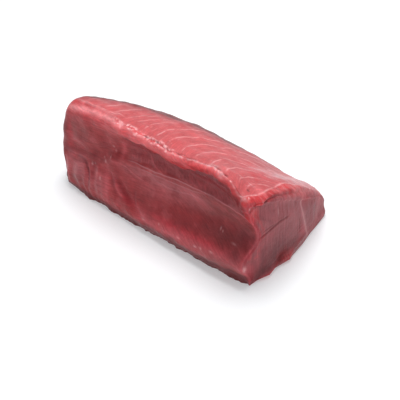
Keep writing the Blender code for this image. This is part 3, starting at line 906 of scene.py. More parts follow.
# Soft patches of colour: chart, middle, reach both ways, turn in degrees, colour, amount
PATCHES = (
    # Upper part of the front, far end
    ("front", 34, 95, 9, 3.5, 0, "top_red", 0.60), ("front", 24, 74, 26, 10, 0, "brown", 0.45),
    ("front", 11, 66, 3, 24, 0, "crimson", 0.45), ("front", 2, 66, 4, 34, 0, "edge", 0.60),
    ("front", 8, 42, 8, 5, 0, "maroon", 0.90), ("front", 44, 52, 26, 5, 8, "dark", 0.70),
    ("front", 62, 66, 16, 8, 20, "dark", 0.45), ("front", 77, 72, 2.5, 9, 0, "dark", 0.60),
    # Hanging folds, far end
    ("front", 26, 29, 10, 12, -14, "grey", 0.85), ("front", 9, 26, 4, 12, 0, "rim", 0.45),
    ("front", 47, 44, 9, 4, 0, "dark", 0.40), ("front", 42, 33, 6, 8, 0, "rim", 0.45),
    ("front", 97, 52, 10, 5, 0, "dark", 0.45), ("front", 89, 32, 8, 9, 0, "dark", 0.45),
    ("front", 52, 36, 5, 8, 0, "rim", 0.45), ("front", 64, 32, 4.5, 16, 0, "rim", 0.80),
    ("front", 44, 22, 12, 8, 0, "grey", 0.45), ("front", 80, 40, 9, 7, -45, "dark", 0.45),
    # Middle of the front: the grey patches below the seam are partly a greyish membrane, partly painted sheen
    ("front", 100, 62, 22, 6, 4, "grey", 0.50), ("front", 130, 62, 30, 8, 2, "grey", 0.75),
    ("front", 170, 66, 30, 8, 6, "grey", 0.80), ("front", 128, 48, 26, 7, 8, "grey", 0.45),
    ("front", 176, 56, 26, 6, 8, "grey", 0.40), ("front", 198, 66, 44, 5, -14, "brown", 0.60),
    ("front", 205, 62, 16, 6, 0, "brown", 0.50), ("front", 198, 77, 10, 4, 0, "brown", 0.55),
    ("front", 218, 70, 18, 6, -8, "brown", 0.90), ("front", 232, 60, 8, 7, -40, "brown", 0.80),
    # Lower part of the front
    ("front", 112, 32, 18, 8, 0, "dark", 0.40), ("front", 165, 37, 34, 8, 6, "dark", 0.75),
    ("front", 208, 43, 22, 9, 6, "maroon", 0.80), ("front", 228, 50, 11, 10, 0, "maroon", 0.85),
    ("front", 150, 27, 34, 3.5, 1, "crimson", 0.60), ("front", 196, 29, 28, 3.5, 3, "crimson", 0.85),
    ("front", 92, 27, 10, 4, -10, "crimson", 0.60),
    # Near end
    ("near", 22, 22, 26, 18, 0, "end_dark", 0.85), ("near", 8, 12, 10, 10, 0, "maroon", 0.60),
    ("near", 50, 16, 20, 12, 0, "end_dark", 0.70), ("near", 56, 12, 8, 6, 0, "maroon", 0.60),
    ("near", 48, 72, 16, 7, -20, "grey", 0.70), ("near", 78, 54, 12, 7, -35, "top_red", 0.55),
    ("near", 94, 38, 16, 18, 0, "end_dark", 0.40), ("near", 106, 34, 7, 12, 20, "crimson", 0.50),
    ("near", 72, 14, 5, 12, 10, "crimson", 0.45), ("far", 30, 20, 40, 18, 0, "end_dark", 0.70),
    ("far", 96, 24, 22, 22, 0, "rim", 0.45),
    # Top: the thin skin's pale pink near the back is partly a painted sheen
    ("top", 24, 20, 16, 8, 0, "top_red", 0.45), ("top", 20, 14, 3, 2, 0, "pale", 0.35),
    ("top", 190, 76, 30, 22, 0, "back", 0.60), ("top", 196, 34, 14, 14, 0, "back", 0.30),
    ("top", 212, 44, 20, 14, 60, "top_red", 0.80), ("top", 212, 58, 24, 7, 62, "veil", 0.30),
    ("top", 224, 84, 26, 10, 80, "veil", 0.60),
)

# Patches that lie over the ridge, the trim band and the rim. Among them, the shade, deep and maroon patches
# under the crest by the near end and the dark patches in the gap beside the nub are painted shade, and the
# crest and pale patches on the crest, the corners and the nub are painted highlights.
LATE_PATCHES = (
    ("near", 44, 18, 9, 4, 0, "maroon", 0.70), ("near", 42.6, 7.5, 3.8, 6.5, 0, "band", 1.60),
    ("near", 36.2, 11, 3.2, 7.5, -12, "deep", 1.50), ("near", 37, 9, 1.8, 6, -12, "edge", 1.20),
    ("near", 62, 8, 9, 4, 10, "dark", 0.80), ("near", 17, 3.5, 5, 3, 0, "rim", 0.90),
    ("front", 100, 99, 42, 3.2, 0, "crest", 0.45), ("crest", 168, -1, 8, 2.6, 0, "deep", 0.55),
    ("crest", 193, 2.6, 7, 2.2, 0, "deep", 0.55), ("crest", 204, -6.5, 8, 2.4, 0, "deep", 0.45),
    ("crest", 187, -6, 13, 2.8, 0, "deep", 0.55), ("crest", 207, -3.5, 3, 2.0, 0, "pale", 0.45),
    ("crest", 233, -1.5, 4, 2.2, 0, "pale", 0.45), ("crest", 222, -3.6, 12, 2.4, 0, "band", 0.50),
    ("front", 229.5, 92.5, 12, 3.6, -35, "maroon", 0.92), ("front", 214, 92, 16, 5, -28, "deep", 0.45),
    ("front", 6, 92, 5, 9, 35, "brown", 0.45), ("top", 8, 14, 6, 12, 0, "edge", 0.55),
    ("top", 16, 32, 16, 5, 0, "edge", 0.50), ("crest", 38, -0.5, 30, 2.0, 0, "pale", 0.28),
    ("front", 9, 30, 6, 11, -8, "veil", 0.22), ("front", 24, 34, 5, 10, -14, "veil", 0.20),
    ("front", 227, 90, 17, 8, -38, "shade", 0.62), ("front", 210, 90, 10, 5, -20, "shade", 0.40),
    ("front", 188, 93, 22, 5, -4, "shade", 0.28), ("near", 37, 11, 3.4, 7.5, -12, "shade", 0.85),
    ("near", 31, 15, 4, 5, 0, "shade", 0.55), ("near", 42.8, 9, 2.6, 4.5, 0, "crest", 0.40),
    ("near", 44, 18, 8, 6, 0, "edge", 0.30), ("front", 0, 39, 6, 6, 0, "shade", 0.60),
    ("front", 7, 27, 4, 7, 0, "grey", 0.80), ("top", 240, 36, 5, 8, 0, "crest", 0.40),
    ("front", 229, 33, 10, 7, 0, "maroon", 0.70), ("front", 27, 33, 5, 11, -14, "grey", 0.60),
    ("near", 2, 47, 4, 9, 0, "end_dark", 0.50), ("near", -2, 84, 4, 4, 0, "crest", 0.40),
    ("front", 22, 15, 9, 7, 0, "brown", 0.60), ("front", 56, 28, 7, 11, 0, "grey", 0.65),
    ("front", 72.5, 38, 2.6, 9, 12, "maroon", 0.60), ("near", -3, 18, 4, 9, 0, "crimson", 0.40),
    ("front", 212, 44, 20, 10, 6, "brown", 0.35), ("front", 203, 24, 24, 4.5, 3, "brown", 0.40),
    ("front", 188, 57, 24, 7, 8, "brown", 0.38), ("near", 16, 12, 16, 10, 0, "edge", 0.25),
    ("near", 66, 68, 11, 5, -35, "crest", 0.35), ("top", 240, 64, 6, 12, 0, "crest", 0.30),
    ("near", 100, 42, 8, 10, 20, "crimson", 0.40), ("front", 240, 51, 6, 5, 0, "maroon", 0.80),
    ("front", 205, 18, 26, 6, 2, "brown", 0.40), ("front", 236, 22, 5, 6, 0, "rim", 0.75),
    ("near", -4, 51, 4, 4, 0, "maroon", 0.60), ("near", 0, 81, 5, 7, 0, "trim", 0.75),
    ("near", -8, 22, 4, 8, 0, "rim", 0.60), ("near", 4, 36, 3, 20, 0, "rim", 0.30),
    ("top", 233, 15, 7, 5, 0, "crest", 0.55),
)

# Colour along the lines of the far end, painted shade in the groove and the cleft, painted light on the two
# folds, and a grey streak: line, half width, colour, amount
LINE_SHADES_AND_STAINS = (
    ("groove", 3.2, "dark", 0.40),
    ("fold_light", 2.2, "rim", 0.70),
    ("high_fold", 2.4, "rim", 0.45),
    ("cleft", 1.6, "maroon", 0.50),
    ("far_streak", 2.4, "grey", 0.35),
)


def linear(name):
    """A colour of the palette in linear light."""
    share = np.array(PALETTE[name], float) / 255.0
    return np.where(share <= 0.04045, share / 12.92, ((share + 0.055) / 1.055) ** 2.4)


class Coat:
    """The colour of each place, laid on in layers, before the fine grain that the material adds."""

    def __init__(self, skin):
        self.skin = skin
        self.colour = np.broadcast_to(linear("top"), skin.grid.shape).copy()

    def lay(self, name, amount):
        amount = np.clip(amount, 0.0, 1.0)[..., None]
        self.colour = self.colour * (1.0 - amount) + linear(name) * amount

    def patches(self, rows):
        for *place, name, amount in rows:
            self.lay(name, amount * self.skin.patch(*place))


def paint_faces(skin, coat):
    """The plain colour of each face, its patches, the brown back edge and uneven stains. The darker front and
    ends and the brown back edge are partly painted shade.
    """
    # The front and the ends are painted darker than the top: partly their own deeper colour, partly painted
    # shade of the sides that face away from the overhead lamp.
    coat.lay("front", skin.on_front)
    coat.lay("end", skin.on_ends)
    coat.lay("brown", skin.on_back)
    coat.lay("end", skin.on_base)
    coat.patches(PATCHES)
    # Browner towards the back and a dark band along the top's back edge: partly darker flesh, partly painted
    # shade where the top turns away from the lamp.
    past_edge = skin.y - along(skin.x, BACK_EDGE_Y) + 3.0 * noise_at(skin.grid, 10.0, 21)
    coat.lay("back", 0.8 * skin.on_top * rise(past_edge, -30, 24) * smooth((200.0 - skin.x) / 30.0))
    rind_and_shade = rise(past_edge, -8, 8) * (1.0 - 0.55 * rise(past_edge, 14, 16))
    coat.lay("edge", 0.85 * skin.on_top * rind_and_shade * smooth((232.0 - skin.x) / 25.0))
    stains = noise_at(skin.grid * (0.7, 1.0, 1.0), 9.0, 40) + 0.6 * noise_at(skin.grid, 4.0, 41)
    cut = np.maximum(skin.on_front, 0.5 * skin.on_ends)
    coat.lay("dark", 0.45 * cut * rise(stains, 0.05, 0.6))
    coat.lay("rim", 0.22 * cut * rise(-stains, 0.15, 0.5))


def paint_front(skin, coat):
    """The recess with its darkest stretch, partly painted shade, the lines of the far end with painted shade
    and light, the rim, partly painted light, and the dark foot, a painted shade.
    """
    x = skin.x
    hollow = recess(skin)
    # The recess: partly its own darker flesh, partly painted shade, darkest right under the overhanging band
    # and towards the near end; its lower part is painted a lighter grey.
    high = smooth(skin.over_seam / 16.0)
    coat.lay("grey", 0.55 * hollow * (1.0 - high))
    coat.lay("recess", 0.9 * hollow * high)
    shade_under_band = hollow * np.exp(-np.clip(band_below(skin), 0.0, None) / 7.0)
    coat.lay("maroon", 0.75 * shade_under_band * rise(x, 84, 20))
    coat.lay("edge", 0.65 * shade_under_band * bump(x - 180.0, 26.0))
    coat.lay("maroon", 0.45 * hollow * rise(x, 196, 14))
    # Painted shade in the groove along the tongue's edge.
    coat.lay("maroon", 0.8 * skin.line("tongue_edge", 2.4) * (skin.lines["tongue_edge"][0] > -1.5))
    for line, width, name, amount in LINE_SHADES_AND_STAINS:
        coat.lay(name, amount * skin.line(line, width))
    mottle = noise_at(skin.grid, 10.0, 21)
    # The rim's pinker band: partly its own colour, partly painted light where it bulges up towards the lamp
    # and the floor.
    on_rim = skin.on_front * rise(x, *RIM_FROM_X) * bump(skin.over_rim - 3.0, 6.0)
    coat.lay("rim", on_rim * (0.75 + 0.3 * mottle))
    # Painted shade: a dark strip along the foot of the front, where it rolls under to the floor.
    foot_top = 11.0 + 7.5 * rise(x, 90, 40) + 2.5 * mottle
    coat.lay("foot", 0.88 * smooth((foot_top - skin.z) / 8.0) * (skin.side == FRONT))


def paint_ridge(skin, coat):
    """The red band under the crest, with painted glow and shade, the crest with its pale beads and glints,
    painted highlights, and the gaps in it, painted shade.
    """
    x, grid = skin.x, skin.grid
    drop = skin.height - skin.z
    off_line = off_crest_line(skin)
    started = rise(x, *BAND_FROM_X)
    band = skin.on_front * fall(band_below(skin), -0.6, 1.6)
    blotch = noise_at(grid * (0.6, 1.0, 1.3), 4.5, 35)
    coat.lay("top_red", 0.75 * (1.0 - started) * skin.on_front * fall(drop, 3, 16))
    # The red band: the flesh's own red, partly a painted glow of light through the thin lip; the deeper red
    # lower down and under the crest by the near end is partly painted shade.
    coat.lay("band", 0.95 * band * started)
    coat.lay("deep", 0.55 * band * started * rise(drop, 4.5, 5))
    coat.lay("deep", 0.75 * skin.on_front * rise(x, *BAND_RED_FROM_X) * fall(drop, 8, 14))
    coat.lay("deep", 0.6 * band * started * rise(blotch, 0.05, 0.3) * rise(-off_line, 2, 3))
    # Lighter colour along the crest: partly a pale strip, partly a painted highlight of the rounded crest.
    coat.lay("crest", 0.55 * skin.on_crown * bump(off_line + 1.5, 3.6))

    # Painted highlights along the crest line, in beads and glints.
    beads = rise(noise_at(grid, 5.0, 37), -0.35, 0.5)
    glint = noise_at(grid, 2.3, 22) + 0.6 * noise_at(grid, 5.0, 23)
    thinner = 1.0 - 0.35 * rise(x, 206, 10)
    beaded_glints = (0.12 + 0.22 * beads + 0.5 * beads * rise(glint, -0.1, 0.4)) * started * thinner
    coat.lay("crest", 0.95 * skin.on_crown * bump(off_line, 3.4) * (1.0 - started))
    line = skin.on_crown * bump(off_line, 2.4 - 1.2 * started)
    coat.lay("pale", line * (beaded_glints + 0.28 * (1.0 - started)))
    # Painted sparkles on the top side of the crest.
    upper = skin.on_crown * bump(off_line - 3.6, 2.6) * started * fall(x, 134, 10)
    coat.lay("crest", 0.5 * upper * bump(x - 104.0, 24.0))
    coat.lay("pale", 0.9 * upper * smooth((glint + 0.1 * bump(x - 100.0, 20.0)) / 0.3))
    # Painted shade in the dents, the gap and the holes along the crest.
    sunk = skin.on_crown * bump(off_line - 2.6, 1.2) * started * (0.15 + 0.1 * fall(x, 140, 20))
    coat.lay("deep", sunk * smooth((0.25 - glint) / 0.4))
    coat.lay("dark", 0.45 * skin.line("crest_gap", 0.8) * rise(glint, -0.5, 0.5))
    for *place, depth in HOLES:
        coat.lay("edge", 0.85 * skin.patch(*place))


def paint_near_end(skin, coat):
    """The bright trim band with its streaks and its pale upper edge, a painted highlight, the dark crease
    under it, painted shade, the red border with a painted highlight on the front corner, and the trimmings.
    """
    x, y, z, grid = skin.x, skin.y, skin.z, skin.grid
    inside, past, at_top = trim_band(skin)
    band = at_top * smooth(inside / 1.6) * (1.0 - smooth(past / 1.4))
    across = noise_at(np.stack([x / 9.0, y / 2.2, z / 9.0], -1), 1.0, 42)
    edge_beads = rise(noise_at(grid, 4.0, 43), -0.35, 0.6)
    coat.lay("trim", band * (0.95 - 0.5 * rise(y, 60, 25)))
    coat.lay("deep", 0.5 * band * bump(past + 2.2, 2.0) * rise(y, 14, 10))
    coat.lay("deep", 0.55 * band * rise(across, 0.1, 0.4))
    coat.lay("crest", 0.45 * band * rise(-across, 0.15, 0.4))
    # Painted highlight along the trim band's upper edge.
    coat.lay("pale", 0.6 * at_top * bump(inside, 0.9) * (0.3 + 0.7 * edge_beads))
    # Painted shade in the crease under the overhanging trim band.
    coat.lay("deep", 0.6 * at_top * skin.on_near * bump(past - 0.6, 1.3))
    coat.lay("maroon", 0.9 * at_top * bump(past - 0.6, 2.0) * fall(y, 40, 14))
    stain = skin.on_near * rise(past, -1, 2) * fall(past, 4, 6) * (z > 30.0)
    coat.lay("trim", 0.35 * stain * rise(noise_at(grid, 5.0, 36), -0.2, 0.4))

    near_front = (skin.side == FRONT) & (x > TRIM_FROM_X) & (skin.height - z > 3.0)
    high = rise(z, 30, 10)
    coat.lay("crimson", near_front * bump(skin.near - 2.4, 3.2) * (0.35 + 0.35 * high))
    # Painted highlight along the near front corner.
    coat.lay("rim", 0.55 * near_front * bump(skin.near, 1.4))
    coat.lay("deep", 0.45 * fringe(skin))


def paint(skin):
    """The colour of each place with its painted light and shade, before the fine grain that the material
    adds.
    """
    coat = Coat(skin)
    paint_faces(skin, coat)
    paint_front(skin, coat)
    paint_ridge(skin, coat)
    paint_near_end(skin, coat)
    coat.patches(LATE_PATCHES)
    # Painted highlights on the small glinting spots.
    coat.lay("pale", specks(skin, of_height=False))
    return coat.colour


def wetness(skin):
    """How wet each place is, from 0 to 1."""
    crest = skin.on_crown * bump(off_crest_line(skin) - 1.0, 5.0) * rise(skin.x, 40, 40)
    rim = skin.on_front * bump(skin.over_rim, 8.0)
    inside, past, at_top = trim_band(skin)
    trim = at_top * smooth(inside / 2.0) * (1.0 - smooth(past / 2.0))
    wet = crest + 0.30 * rim + skin.patches(VEIL_WETNESS) + 0.3 * trim + 0.6 * fringe(skin)
    return np.clip(wet + specks(skin, of_height=False) + 0.15 * recess(skin), 0.0, 1.0)


def layers_shown(skin):
    """How clearly the layers of the top show: less by the crest, the back, the far end and the trim band."""
    shown = rise(skin.crest, 4, 8)
    shown = shown * (1.0 - 0.8 * smooth((skin.y - along(skin.x, BACK_EDGE_Y) + 22.0) / 20.0))
    inside, _, at_top = trim_band(skin)
    return skin.on_top * shown * rise(skin.x, 20, 30) * (1.0 - at_top * rise(inside, -2, 2))


# Thin marks that the material draws sharper than the mesh, the dark ones in the fissures, the slit and the
# wedge being painted shade in these cracks: line, half width, colour, amount
LINE_LOOKS = (
    ("seam", 0.8, "grey", 0.80), ("seam", 0.35, "veil", 0.25), ("strand_far", 0.8, "rim", 0.45),
    ("strand_high", 0.6, "rim", 0.50), ("strand_middle", 0.6, "veil", 0.22),
    ("strand_low", 0.7, "veil", 0.14), ("fissure", 1.0, "edge", 0.60), ("fissure_high", 0.8, "edge", 0.50),
    ("slit", 0.9, "edge", 0.60), ("wedge", 2.2, "edge", 0.40), ("membrane", 2.0, "veil", 0.28),
    ("membrane", 0.5, "veil", 0.22),
)

# Fixed values of the flesh: a moist film over a slightly translucent body, and its finest relief
FLESH_SHADER = {
    "Coat Roughness": 0.12,
    "Coat IOR": 1.36,
    "IOR": 1.38,
    "Specular IOR Level": 0.24,
    "Subsurface Weight": 0.30,
    "Subsurface Radius": (1.0, 0.28, 0.22),
    "Subsurface Scale": 0.003,
}
FLESH_BUMP = {"Strength": 0.6, "Distance": 0.0009}

# How strongly each pattern shades the painted colour, and how much of its colour each adds at most
GRAIN_SHADE = 0.95
STAIN_SHADE = 0.55
SPECK_SHADE = 0.35
LAYER_COLOUR = 0.48
THREADS_MOST = 0.8
TORN_MOST = 0.6

# Roughness of the flesh where it is dry, its spread, its drop where it is wet, and its least value
DRY_ROUGHNESS = 0.30
ROUGHNESS_SPREAD = 0.30
WET_DROP = 0.22
LEAST_ROUGHNESS = 0.12
WET_COAT = 0.6


class Graph:
    """Short calls that add nodes to a material and join them."""

    def __init__(self, name):
        self.material = bpy.data.materials.new(name)
        self.material.use_nodes = True
        self.tree = self.material.node_tree
        self.shader = self.tree.nodes["Principled BSDF"]

    def put(self, socket, value):
        if isinstance(value, bpy.types.NodeSocket):
            self.tree.links.new(value, socket)
        elif isinstance(value, (tuple, list, np.ndarray)) and len(value) == 3 and socket.type == "RGBA":
            socket.default_value = (*value, 1.0)
        else:
            socket.default_value = value

    def node(self, kind, inputs, **settings):
        """A node of this kind, with its settings, and values or other nodes' results put into its inputs."""
        node = self.tree.nodes.new("ShaderNode" + kind)
        for name, value in settings.items():
            setattr(node, name, value)
        for name, value in inputs.items():
            self.put(node.inputs[name], value)
        return node

    def math(self, operation, *values):
        return self.node("Math", dict(enumerate(values)), operation=operation).outputs[0]

    def join(self, x, y, z=0.0):
        return self.node("CombineXYZ", {"X": x, "Y": y, "Z": z}).outputs[0]

    def attribute(self, name, output="Fac"):
        return self.node("Attribute", {}, attribute_name=name).outputs[output]

    def parts(self, vector):
        return self.node("SeparateXYZ", {0: vector}).outputs

    def place(self, scale, turn=(0.0, 0.0, 0.0)):
        """The place on the flesh in millimetres, turned by these degrees and then divided by these sizes."""
        coordinates = self.node("TexCoord", {}).outputs["Object"]
        turned = self.node("Mapping", {"Vector": coordinates, "Rotation": [math.radians(a) for a in turn]})
        sizes = [1.0 / (METRES_PER_MM * size) for size in scale]
        return self.node("Mapping", {"Vector": turned.outputs[0], "Scale": sizes}).outputs[0]

    def noise(self, vector, detail=2.0, roughness=0.5):
        """Smooth random values around 0.5, one hill to a unit."""
        inputs = {"Vector": vector, "Scale": 1.0, "Detail": detail, "Roughness": roughness, "Distortion": 0.0}
        return self.node("TexNoise", inputs).outputs["Fac"]

    def spread(self, size, detail=2.0, roughness=0.5):
        """Smooth random values around 0, in hills of this many millimetres."""
        return self.math("SUBTRACT", self.noise(self.place((size, size, size)), detail, roughness), 0.5)

    def streaks(self, mask, vector):
        """Thin streaks around 0, where the mask is."""
        return self.math("MULTIPLY", self.math("SUBTRACT", self.noise(vector, 3.0, 0.6), 0.5), mask)

    def ramp(self, value, low, high):
        """0 up to low, 1 from high, smooth between."""
        inputs = {"Value": value, "From Min": low, "From Max": high}
        return self.node("MapRange", inputs, interpolation_type="SMOOTHSTEP").outputs["Result"]

    def mix(self, amount, first, second):
        inputs = {"Factor": amount, "A": first, "B": second}
        return self.node("Mix", inputs, data_type="RGBA").outputs["Result"]

    def tint(self, colour, name, amount, most=1.0):
        """A colour with this much of a palette colour over it, from none up to the most."""
        amount = self.math("MINIMUM", self.math("MAXIMUM", amount, 0.0), most)
        return self.mix(amount, colour, tuple(linear(name)))

    def hill(self, distance, width):
        """1 where the distance is 0, less away from it."""
        square = self.math("POWER", self.math("DIVIDE", distance, width), 2.0)
        return self.math("EXPONENT", self.math("MULTIPLY", square, -1.0))

    def line(self, name, width):
        """1 on the middle of a line of the flesh, less away from it."""
        distance, strength, _ = self.parts(self.attribute("line_" + name, "Vector"))
        return self.math("MULTIPLY", self.hill(distance, width), strength)


def muscle_grain(graph, phase):
    """Grain of the muscle: along the arcs of the top and along the front, upright in the recess and ends."""
    x_mm, y_mm, _ = graph.parts(graph.place((1.0, 1.0, 1.0)))
    arcs = graph.join(graph.math("MULTIPLY", phase, 13.0), graph.math("MULTIPLY", y_mm, 0.07))
    fine_arcs = graph.join(graph.math("MULTIPLY", phase, 5.0), graph.math("MULTIPLY", y_mm, 0.03), 7.0)
    calm = graph.math("MULTIPLY", graph.attribute("on_top"), 0.55)
    grain = graph.math("ADD", graph.streaks(calm, arcs), graph.streaks(calm, fine_arcs))
    front = graph.attribute("on_front")
    leaning = graph.math("MULTIPLY", graph.ramp(x_mm, -20.0, 50.0), front)
    level = graph.math("SUBTRACT", front, leaning)
    for mask, sizes, turn in (
        (level, (14.0, 12.0, 1.7), (0.0, 6.0, 0.0)),
        (leaning, (11.0, 12.0, 1.5), (0.0, -28.0, 0.0)),
        (graph.attribute("on_end"), (9.0, 1.1, 26.0), (0.0, 0.0, 0.0)),
        (graph.attribute("recess"), (1.3, 4.0, 9.0), (0.0, 18.0, 0.0)),
    ):
        grain = graph.math("ADD", grain, graph.streaks(mask, graph.place(sizes, turn)))
    return grain


def layer_lines(graph, phase):
    """A pale line where the phase passes a whole number, and fainter ones between."""
    phase = graph.math("MULTIPLY_ADD", graph.spread(15.0), 0.22, phase)
    off = graph.math("SUBTRACT", phase, graph.math("ROUND", phase))
    thirds = graph.math("MULTIPLY", graph.math("ADD", phase, 0.17), 3.0)
    off_thirds = graph.math("SUBTRACT", thirds, graph.math("ROUND", thirds))
    broken = graph.ramp(graph.noise(graph.place((9.0, 9.0, 9.0))), 0.30, 0.58)
    fainter = graph.ramp(graph.noise(graph.place((7.0, 7.0, 7.0))), 0.48, 0.66)
    layers = graph.math("MULTIPLY", graph.hill(off, 0.055), broken)
    between = graph.math("MULTIPLY", graph.hill(off_thirds, 0.11), fainter)
    layers = graph.math("MULTIPLY_ADD", between, 0.40, layers)
    return graph.math("MULTIPLY", layers, graph.attribute("layers"))


def flesh_material():
    """Wet raw flesh: painted zones, muscle layers, grain, thin membranes and a moist film."""
    graph = Graph("tuna_flesh_wet")
    wet = graph.attribute("wet")
    phase = graph.attribute("layer_phase")
    veil = graph.attribute("veil")
    grain = muscle_grain(graph, phase)
    layers = layer_lines(graph, phase)
    veil_grain = graph.streaks(veil, graph.place((16.0, 1.0, 16.0), (0.0, 0.0, -68.0)))

    # Painted zones with their grain and mottling, from broad stains down to specks
    specks = graph.spread(1.7)
    shade = graph.math("MULTIPLY_ADD", grain, GRAIN_SHADE, 1.0)
    shade = graph.math("MULTIPLY_ADD", graph.spread(16.0, 3.0, 0.6), STAIN_SHADE, shade)
    shade = graph.math("MULTIPLY_ADD", specks, SPECK_SHADE, shade)
    painted = graph.attribute("flesh_colour", "Color")
    colour = graph.node("VectorMath", {0: painted, "Scale": shade}, operation="SCALE").outputs[0]

    # Muscle layers, the thin veil with its painted sheen drawn out in threads, then membranes, strands and
    # fissures
    colour = graph.tint(colour, "pale", graph.math("MULTIPLY", layers, LAYER_COLOUR))
    threads = graph.math("MULTIPLY_ADD", veil_grain, 4.2, graph.math("MULTIPLY", veil, 0.10))
    colour = graph.tint(colour, "veil", threads, THREADS_MOST)
    torn = graph.math("MULTIPLY_ADD", veil_grain, -4.0, -0.30)
    colour = graph.tint(colour, "edge", torn, TORN_MOST)
    for line, width, name, amount in LINE_LOOKS:
        colour = graph.tint(colour, name, graph.math("MULTIPLY", graph.line(line, width), amount))
    graph.put(graph.shader.inputs["Base Color"], colour)

    # Moist film: smoother where it is wet, with small uneven spots
    film = graph.noise(graph.place((2.4, 2.4, 2.4)), 3.0, 0.6)
    rough = graph.math("MULTIPLY_ADD", film, ROUGHNESS_SPREAD, DRY_ROUGHNESS)
    rough = graph.math("MULTIPLY_ADD", wet, -WET_DROP, rough)
    graph.put(graph.shader.inputs["Roughness"], graph.math("MAXIMUM", rough, LEAST_ROUGHNESS))
    graph.put(graph.shader.inputs["Coat Weight"], graph.math("MULTIPLY", wet, WET_COAT))
    for name, value in FLESH_SHADER.items():
        graph.shader.inputs[name].default_value = value

    # Fine relief that the mesh is too coarse for
    pits = graph.math("MULTIPLY", graph.math("SUBTRACT", film, 0.5), wet)
    height = graph.math("MULTIPLY", grain, 0.5)
    for part, amount in ((specks, 0.35), (layers, 0.12), (veil_grain, 0.6), (pits, 1.3)):
        height = graph.math("MULTIPLY_ADD", part, amount, height)
    relief = graph.node("Bump", {"Height": height, **FLESH_BUMP})
    graph.put(graph.shader.inputs["Normal"], relief.outputs[0])
    return graph.material


def skin_faces(ring_count, ring_size):
    """Quads between neighbouring rings and a fan at each end. Vertex 0 and the last are the middles."""
    here = np.arange(ring_size)
    beside = (here + 1) % ring_size
    last = 1 + ring_count * ring_size
    end_ring = last - ring_size
    faces = [np.stack([0 * here, 1 + here, 1 + beside], -1).tolist()]
    faces.append(np.stack([0 * here + last, end_ring + beside, end_ring + here], -1).tolist())
    for ring in range(ring_count - 1):
        low = 1 + ring * ring_size
        high = low + ring_size
        faces.append(np.stack([low + beside, low + here, high + here, high + beside], -1).tolist())
    return [face for group in faces for face in group]


def add_attribute(mesh, name, values):
    """Values for the vertices: the two middles get those of their neighbours in the grid."""
    flat = values.reshape(-1, *values.shape[2:])
    flat = np.concatenate([flat[:1], flat, flat[-1:]]).astype(np.float32)
    kind, field = ("FLOAT", "value") if flat.ndim == 1 else ("FLOAT_VECTOR", "vector")
    if name == "flesh_colour":
        kind, field = "FLOAT_COLOR", "color"
        flat = np.concatenate([flat, np.ones((len(flat), 1), np.float32)], 1)
    mesh.attributes.new(name, kind, "POINT").data.foreach_set(field, flat.ravel())


def skin_points(skin):
    """The skin's grid with all its relief, level along the base."""
    moved = skin.grid + skin.normal * fine_relief(skin)[..., None]
    front_foot, near_foot = foot_shift(skin)
    along_x, along_z = outline_shift(skin)
    moved[..., 0] += near_foot + along_x
    moved[..., 1] -= front_foot
    moved[..., 2] += along_z
    level = (skin.side == BASE) | ((skin.side == FRONT) & (skin.part == 0.0))
    moved[..., 2] = np.where(level, skin.z, np.maximum(moved[..., 2], 0.0))
    return moved


def build_skin():
    skin = Skin()
    moved = skin_points(skin)
    points = np.concatenate([moved[0].mean(0)[None], moved.reshape(-1, 3), moved[-1].mean(0)[None]])
    points = (points - (FOOTPRINT_CENTRE_X, FOOTPRINT_CENTRE_Y, 0.0)) * METRES_PER_MM
    mesh = bpy.data.meshes.new(SKIN_NAME)
    mesh.from_pydata(points.tolist(), [], skin_faces(*moved.shape[:2]))
    mesh.shade_smooth()
    mesh.set_sharp_from_angle(angle=math.radians(SHARP_EDGE_DEG))

    looks = {
        "flesh_colour": paint(skin),
        "on_top": skin.on_top,
        "on_front": skin.on_front,
        "on_end": skin.on_ends,
        "layer_phase": layer_phase(skin),
        "layers": layers_shown(skin),
        "wet": wetness(skin),
        "recess": recess(skin),
        "veil": np.clip(skin.patches(VEIL_AND_SHEEN), 0.0, 1.0),
    }
    for name, (distance, strength) in skin.lines.items():
        looks["line_" + name] = np.stack([distance, strength, 0.0 * distance], -1)
    for name, values in looks.items():
        add_attribute(mesh, name, values)

    mesh.materials.append(flesh_material())
    piece = bpy.data.objects.new(SKIN_NAME, mesh)
    bpy.context.scene.collection.objects.link(piece)
    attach(piece, BODY)
    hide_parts(NODE_NAME)


# Camera: angles in degrees, distances in millimetres, from the photograph's outline of the block
CAMERA_AZIMUTH = 39.73
CAMERA_ELEVATION = 38.0
CAMERA_DISTANCE = 1000.0
CAMERA_TARGET = (40.0, -35.6, 45.0)
CAMERA_SENSOR = 36.0
CAMERA_LENS = 96.92
CAMERA_CLIP = 0.01


def add_camera():
    azimuth = math.radians(CAMERA_AZIMUTH)
    elevation = math.radians(CAMERA_ELEVATION)
    level = math.cos(elevation)
    back = Vector((math.sin(azimuth) * level, -math.cos(azimuth) * level, math.sin(elevation)))
    right = Vector((math.cos(azimuth), math.sin(azimuth), 0.0))
    up = back.cross(right)
    data = bpy.data.cameras.new("view")
    data.sensor_width = CAMERA_SENSOR
    data.lens = CAMERA_LENS
    data.clip_start = CAMERA_CLIP
    camera = bpy.data.objects.new("view", data)
    turned = Matrix((right, up, back)).transposed().to_4x4()
    eye = (Vector(CAMERA_TARGET) + back * CAMERA_DISTANCE) * METRES_PER_MM
    camera.matrix_world = Matrix.Translation(eye) @ turned
    bpy.context.scene.collection.objects.link(camera)
    bpy.context.scene.camera = camera


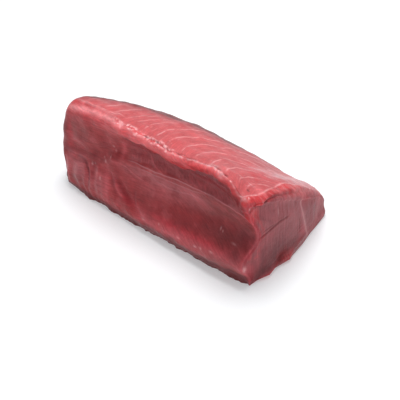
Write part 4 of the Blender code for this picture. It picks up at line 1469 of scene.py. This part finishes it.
# Studio: sizes and places in metres, power in watts
FLOOR_SIZE = 6.0
FLOOR_COLOUR = (0.76, 0.775, 0.785)
FLOOR_ROUGHNESS = 0.65
FLOOR_GLOW = (0.27, 0.28, 0.285)
WORLD_COLOUR = (0.97, 0.98, 1.0)
WORLD_STRENGTH = 0.50
LAMP_PLACE = (-0.09, 0.14, 1.40)
LAMP_AIM = (0.0, 0.0, 0.04)
LAMP_SIZE = 0.75
LAMP_POWER = 13.6


def add_floor():
    """A plain pale floor that gives off a little light, so that the shadow on it stays faint."""
    mesh = bpy.data.meshes.new("floor")
    half = FLOOR_SIZE / 2.0
    corners = [(-half, -half, 0.0), (half, -half, 0.0), (half, half, 0.0), (-half, half, 0.0)]
    mesh.from_pydata(corners, [], [(0, 1, 2, 3)])
    graph = Graph("pale_floor")
    graph.put(graph.shader.inputs["Base Color"], FLOOR_COLOUR)
    graph.put(graph.shader.inputs["Roughness"], FLOOR_ROUGHNESS)
    graph.put(graph.shader.inputs["Emission Color"], FLOOR_GLOW)
    graph.put(graph.shader.inputs["Emission Strength"], 1.0)
    mesh.materials.append(graph.material)
    floor = bpy.data.objects.new("floor", mesh)
    bpy.context.scene.collection.objects.link(floor)


def add_light():
    """A pale room and one soft round lamp overhead."""
    world = bpy.data.worlds.new("studio")
    world.use_nodes = True
    background = world.node_tree.nodes["Background"]
    background.inputs["Color"].default_value = (*WORLD_COLOUR, 1.0)
    background.inputs["Strength"].default_value = WORLD_STRENGTH
    bpy.context.scene.world = world

    data = bpy.data.lights.new("overhead", "AREA")
    data.shape = "DISK"
    data.size = LAMP_SIZE
    data.energy = LAMP_POWER
    lamp = bpy.data.objects.new("overhead", data)
    lamp.location = LAMP_PLACE
    direction = Vector(LAMP_AIM) - Vector(LAMP_PLACE)
    lamp.rotation_euler = direction.to_track_quat("-Z", "Y").to_euler()
    bpy.context.scene.collection.objects.link(lamp)
    bpy.context.scene.view_settings.view_transform = "Standard"


build_skin()
add_camera()
add_floor()
add_light()
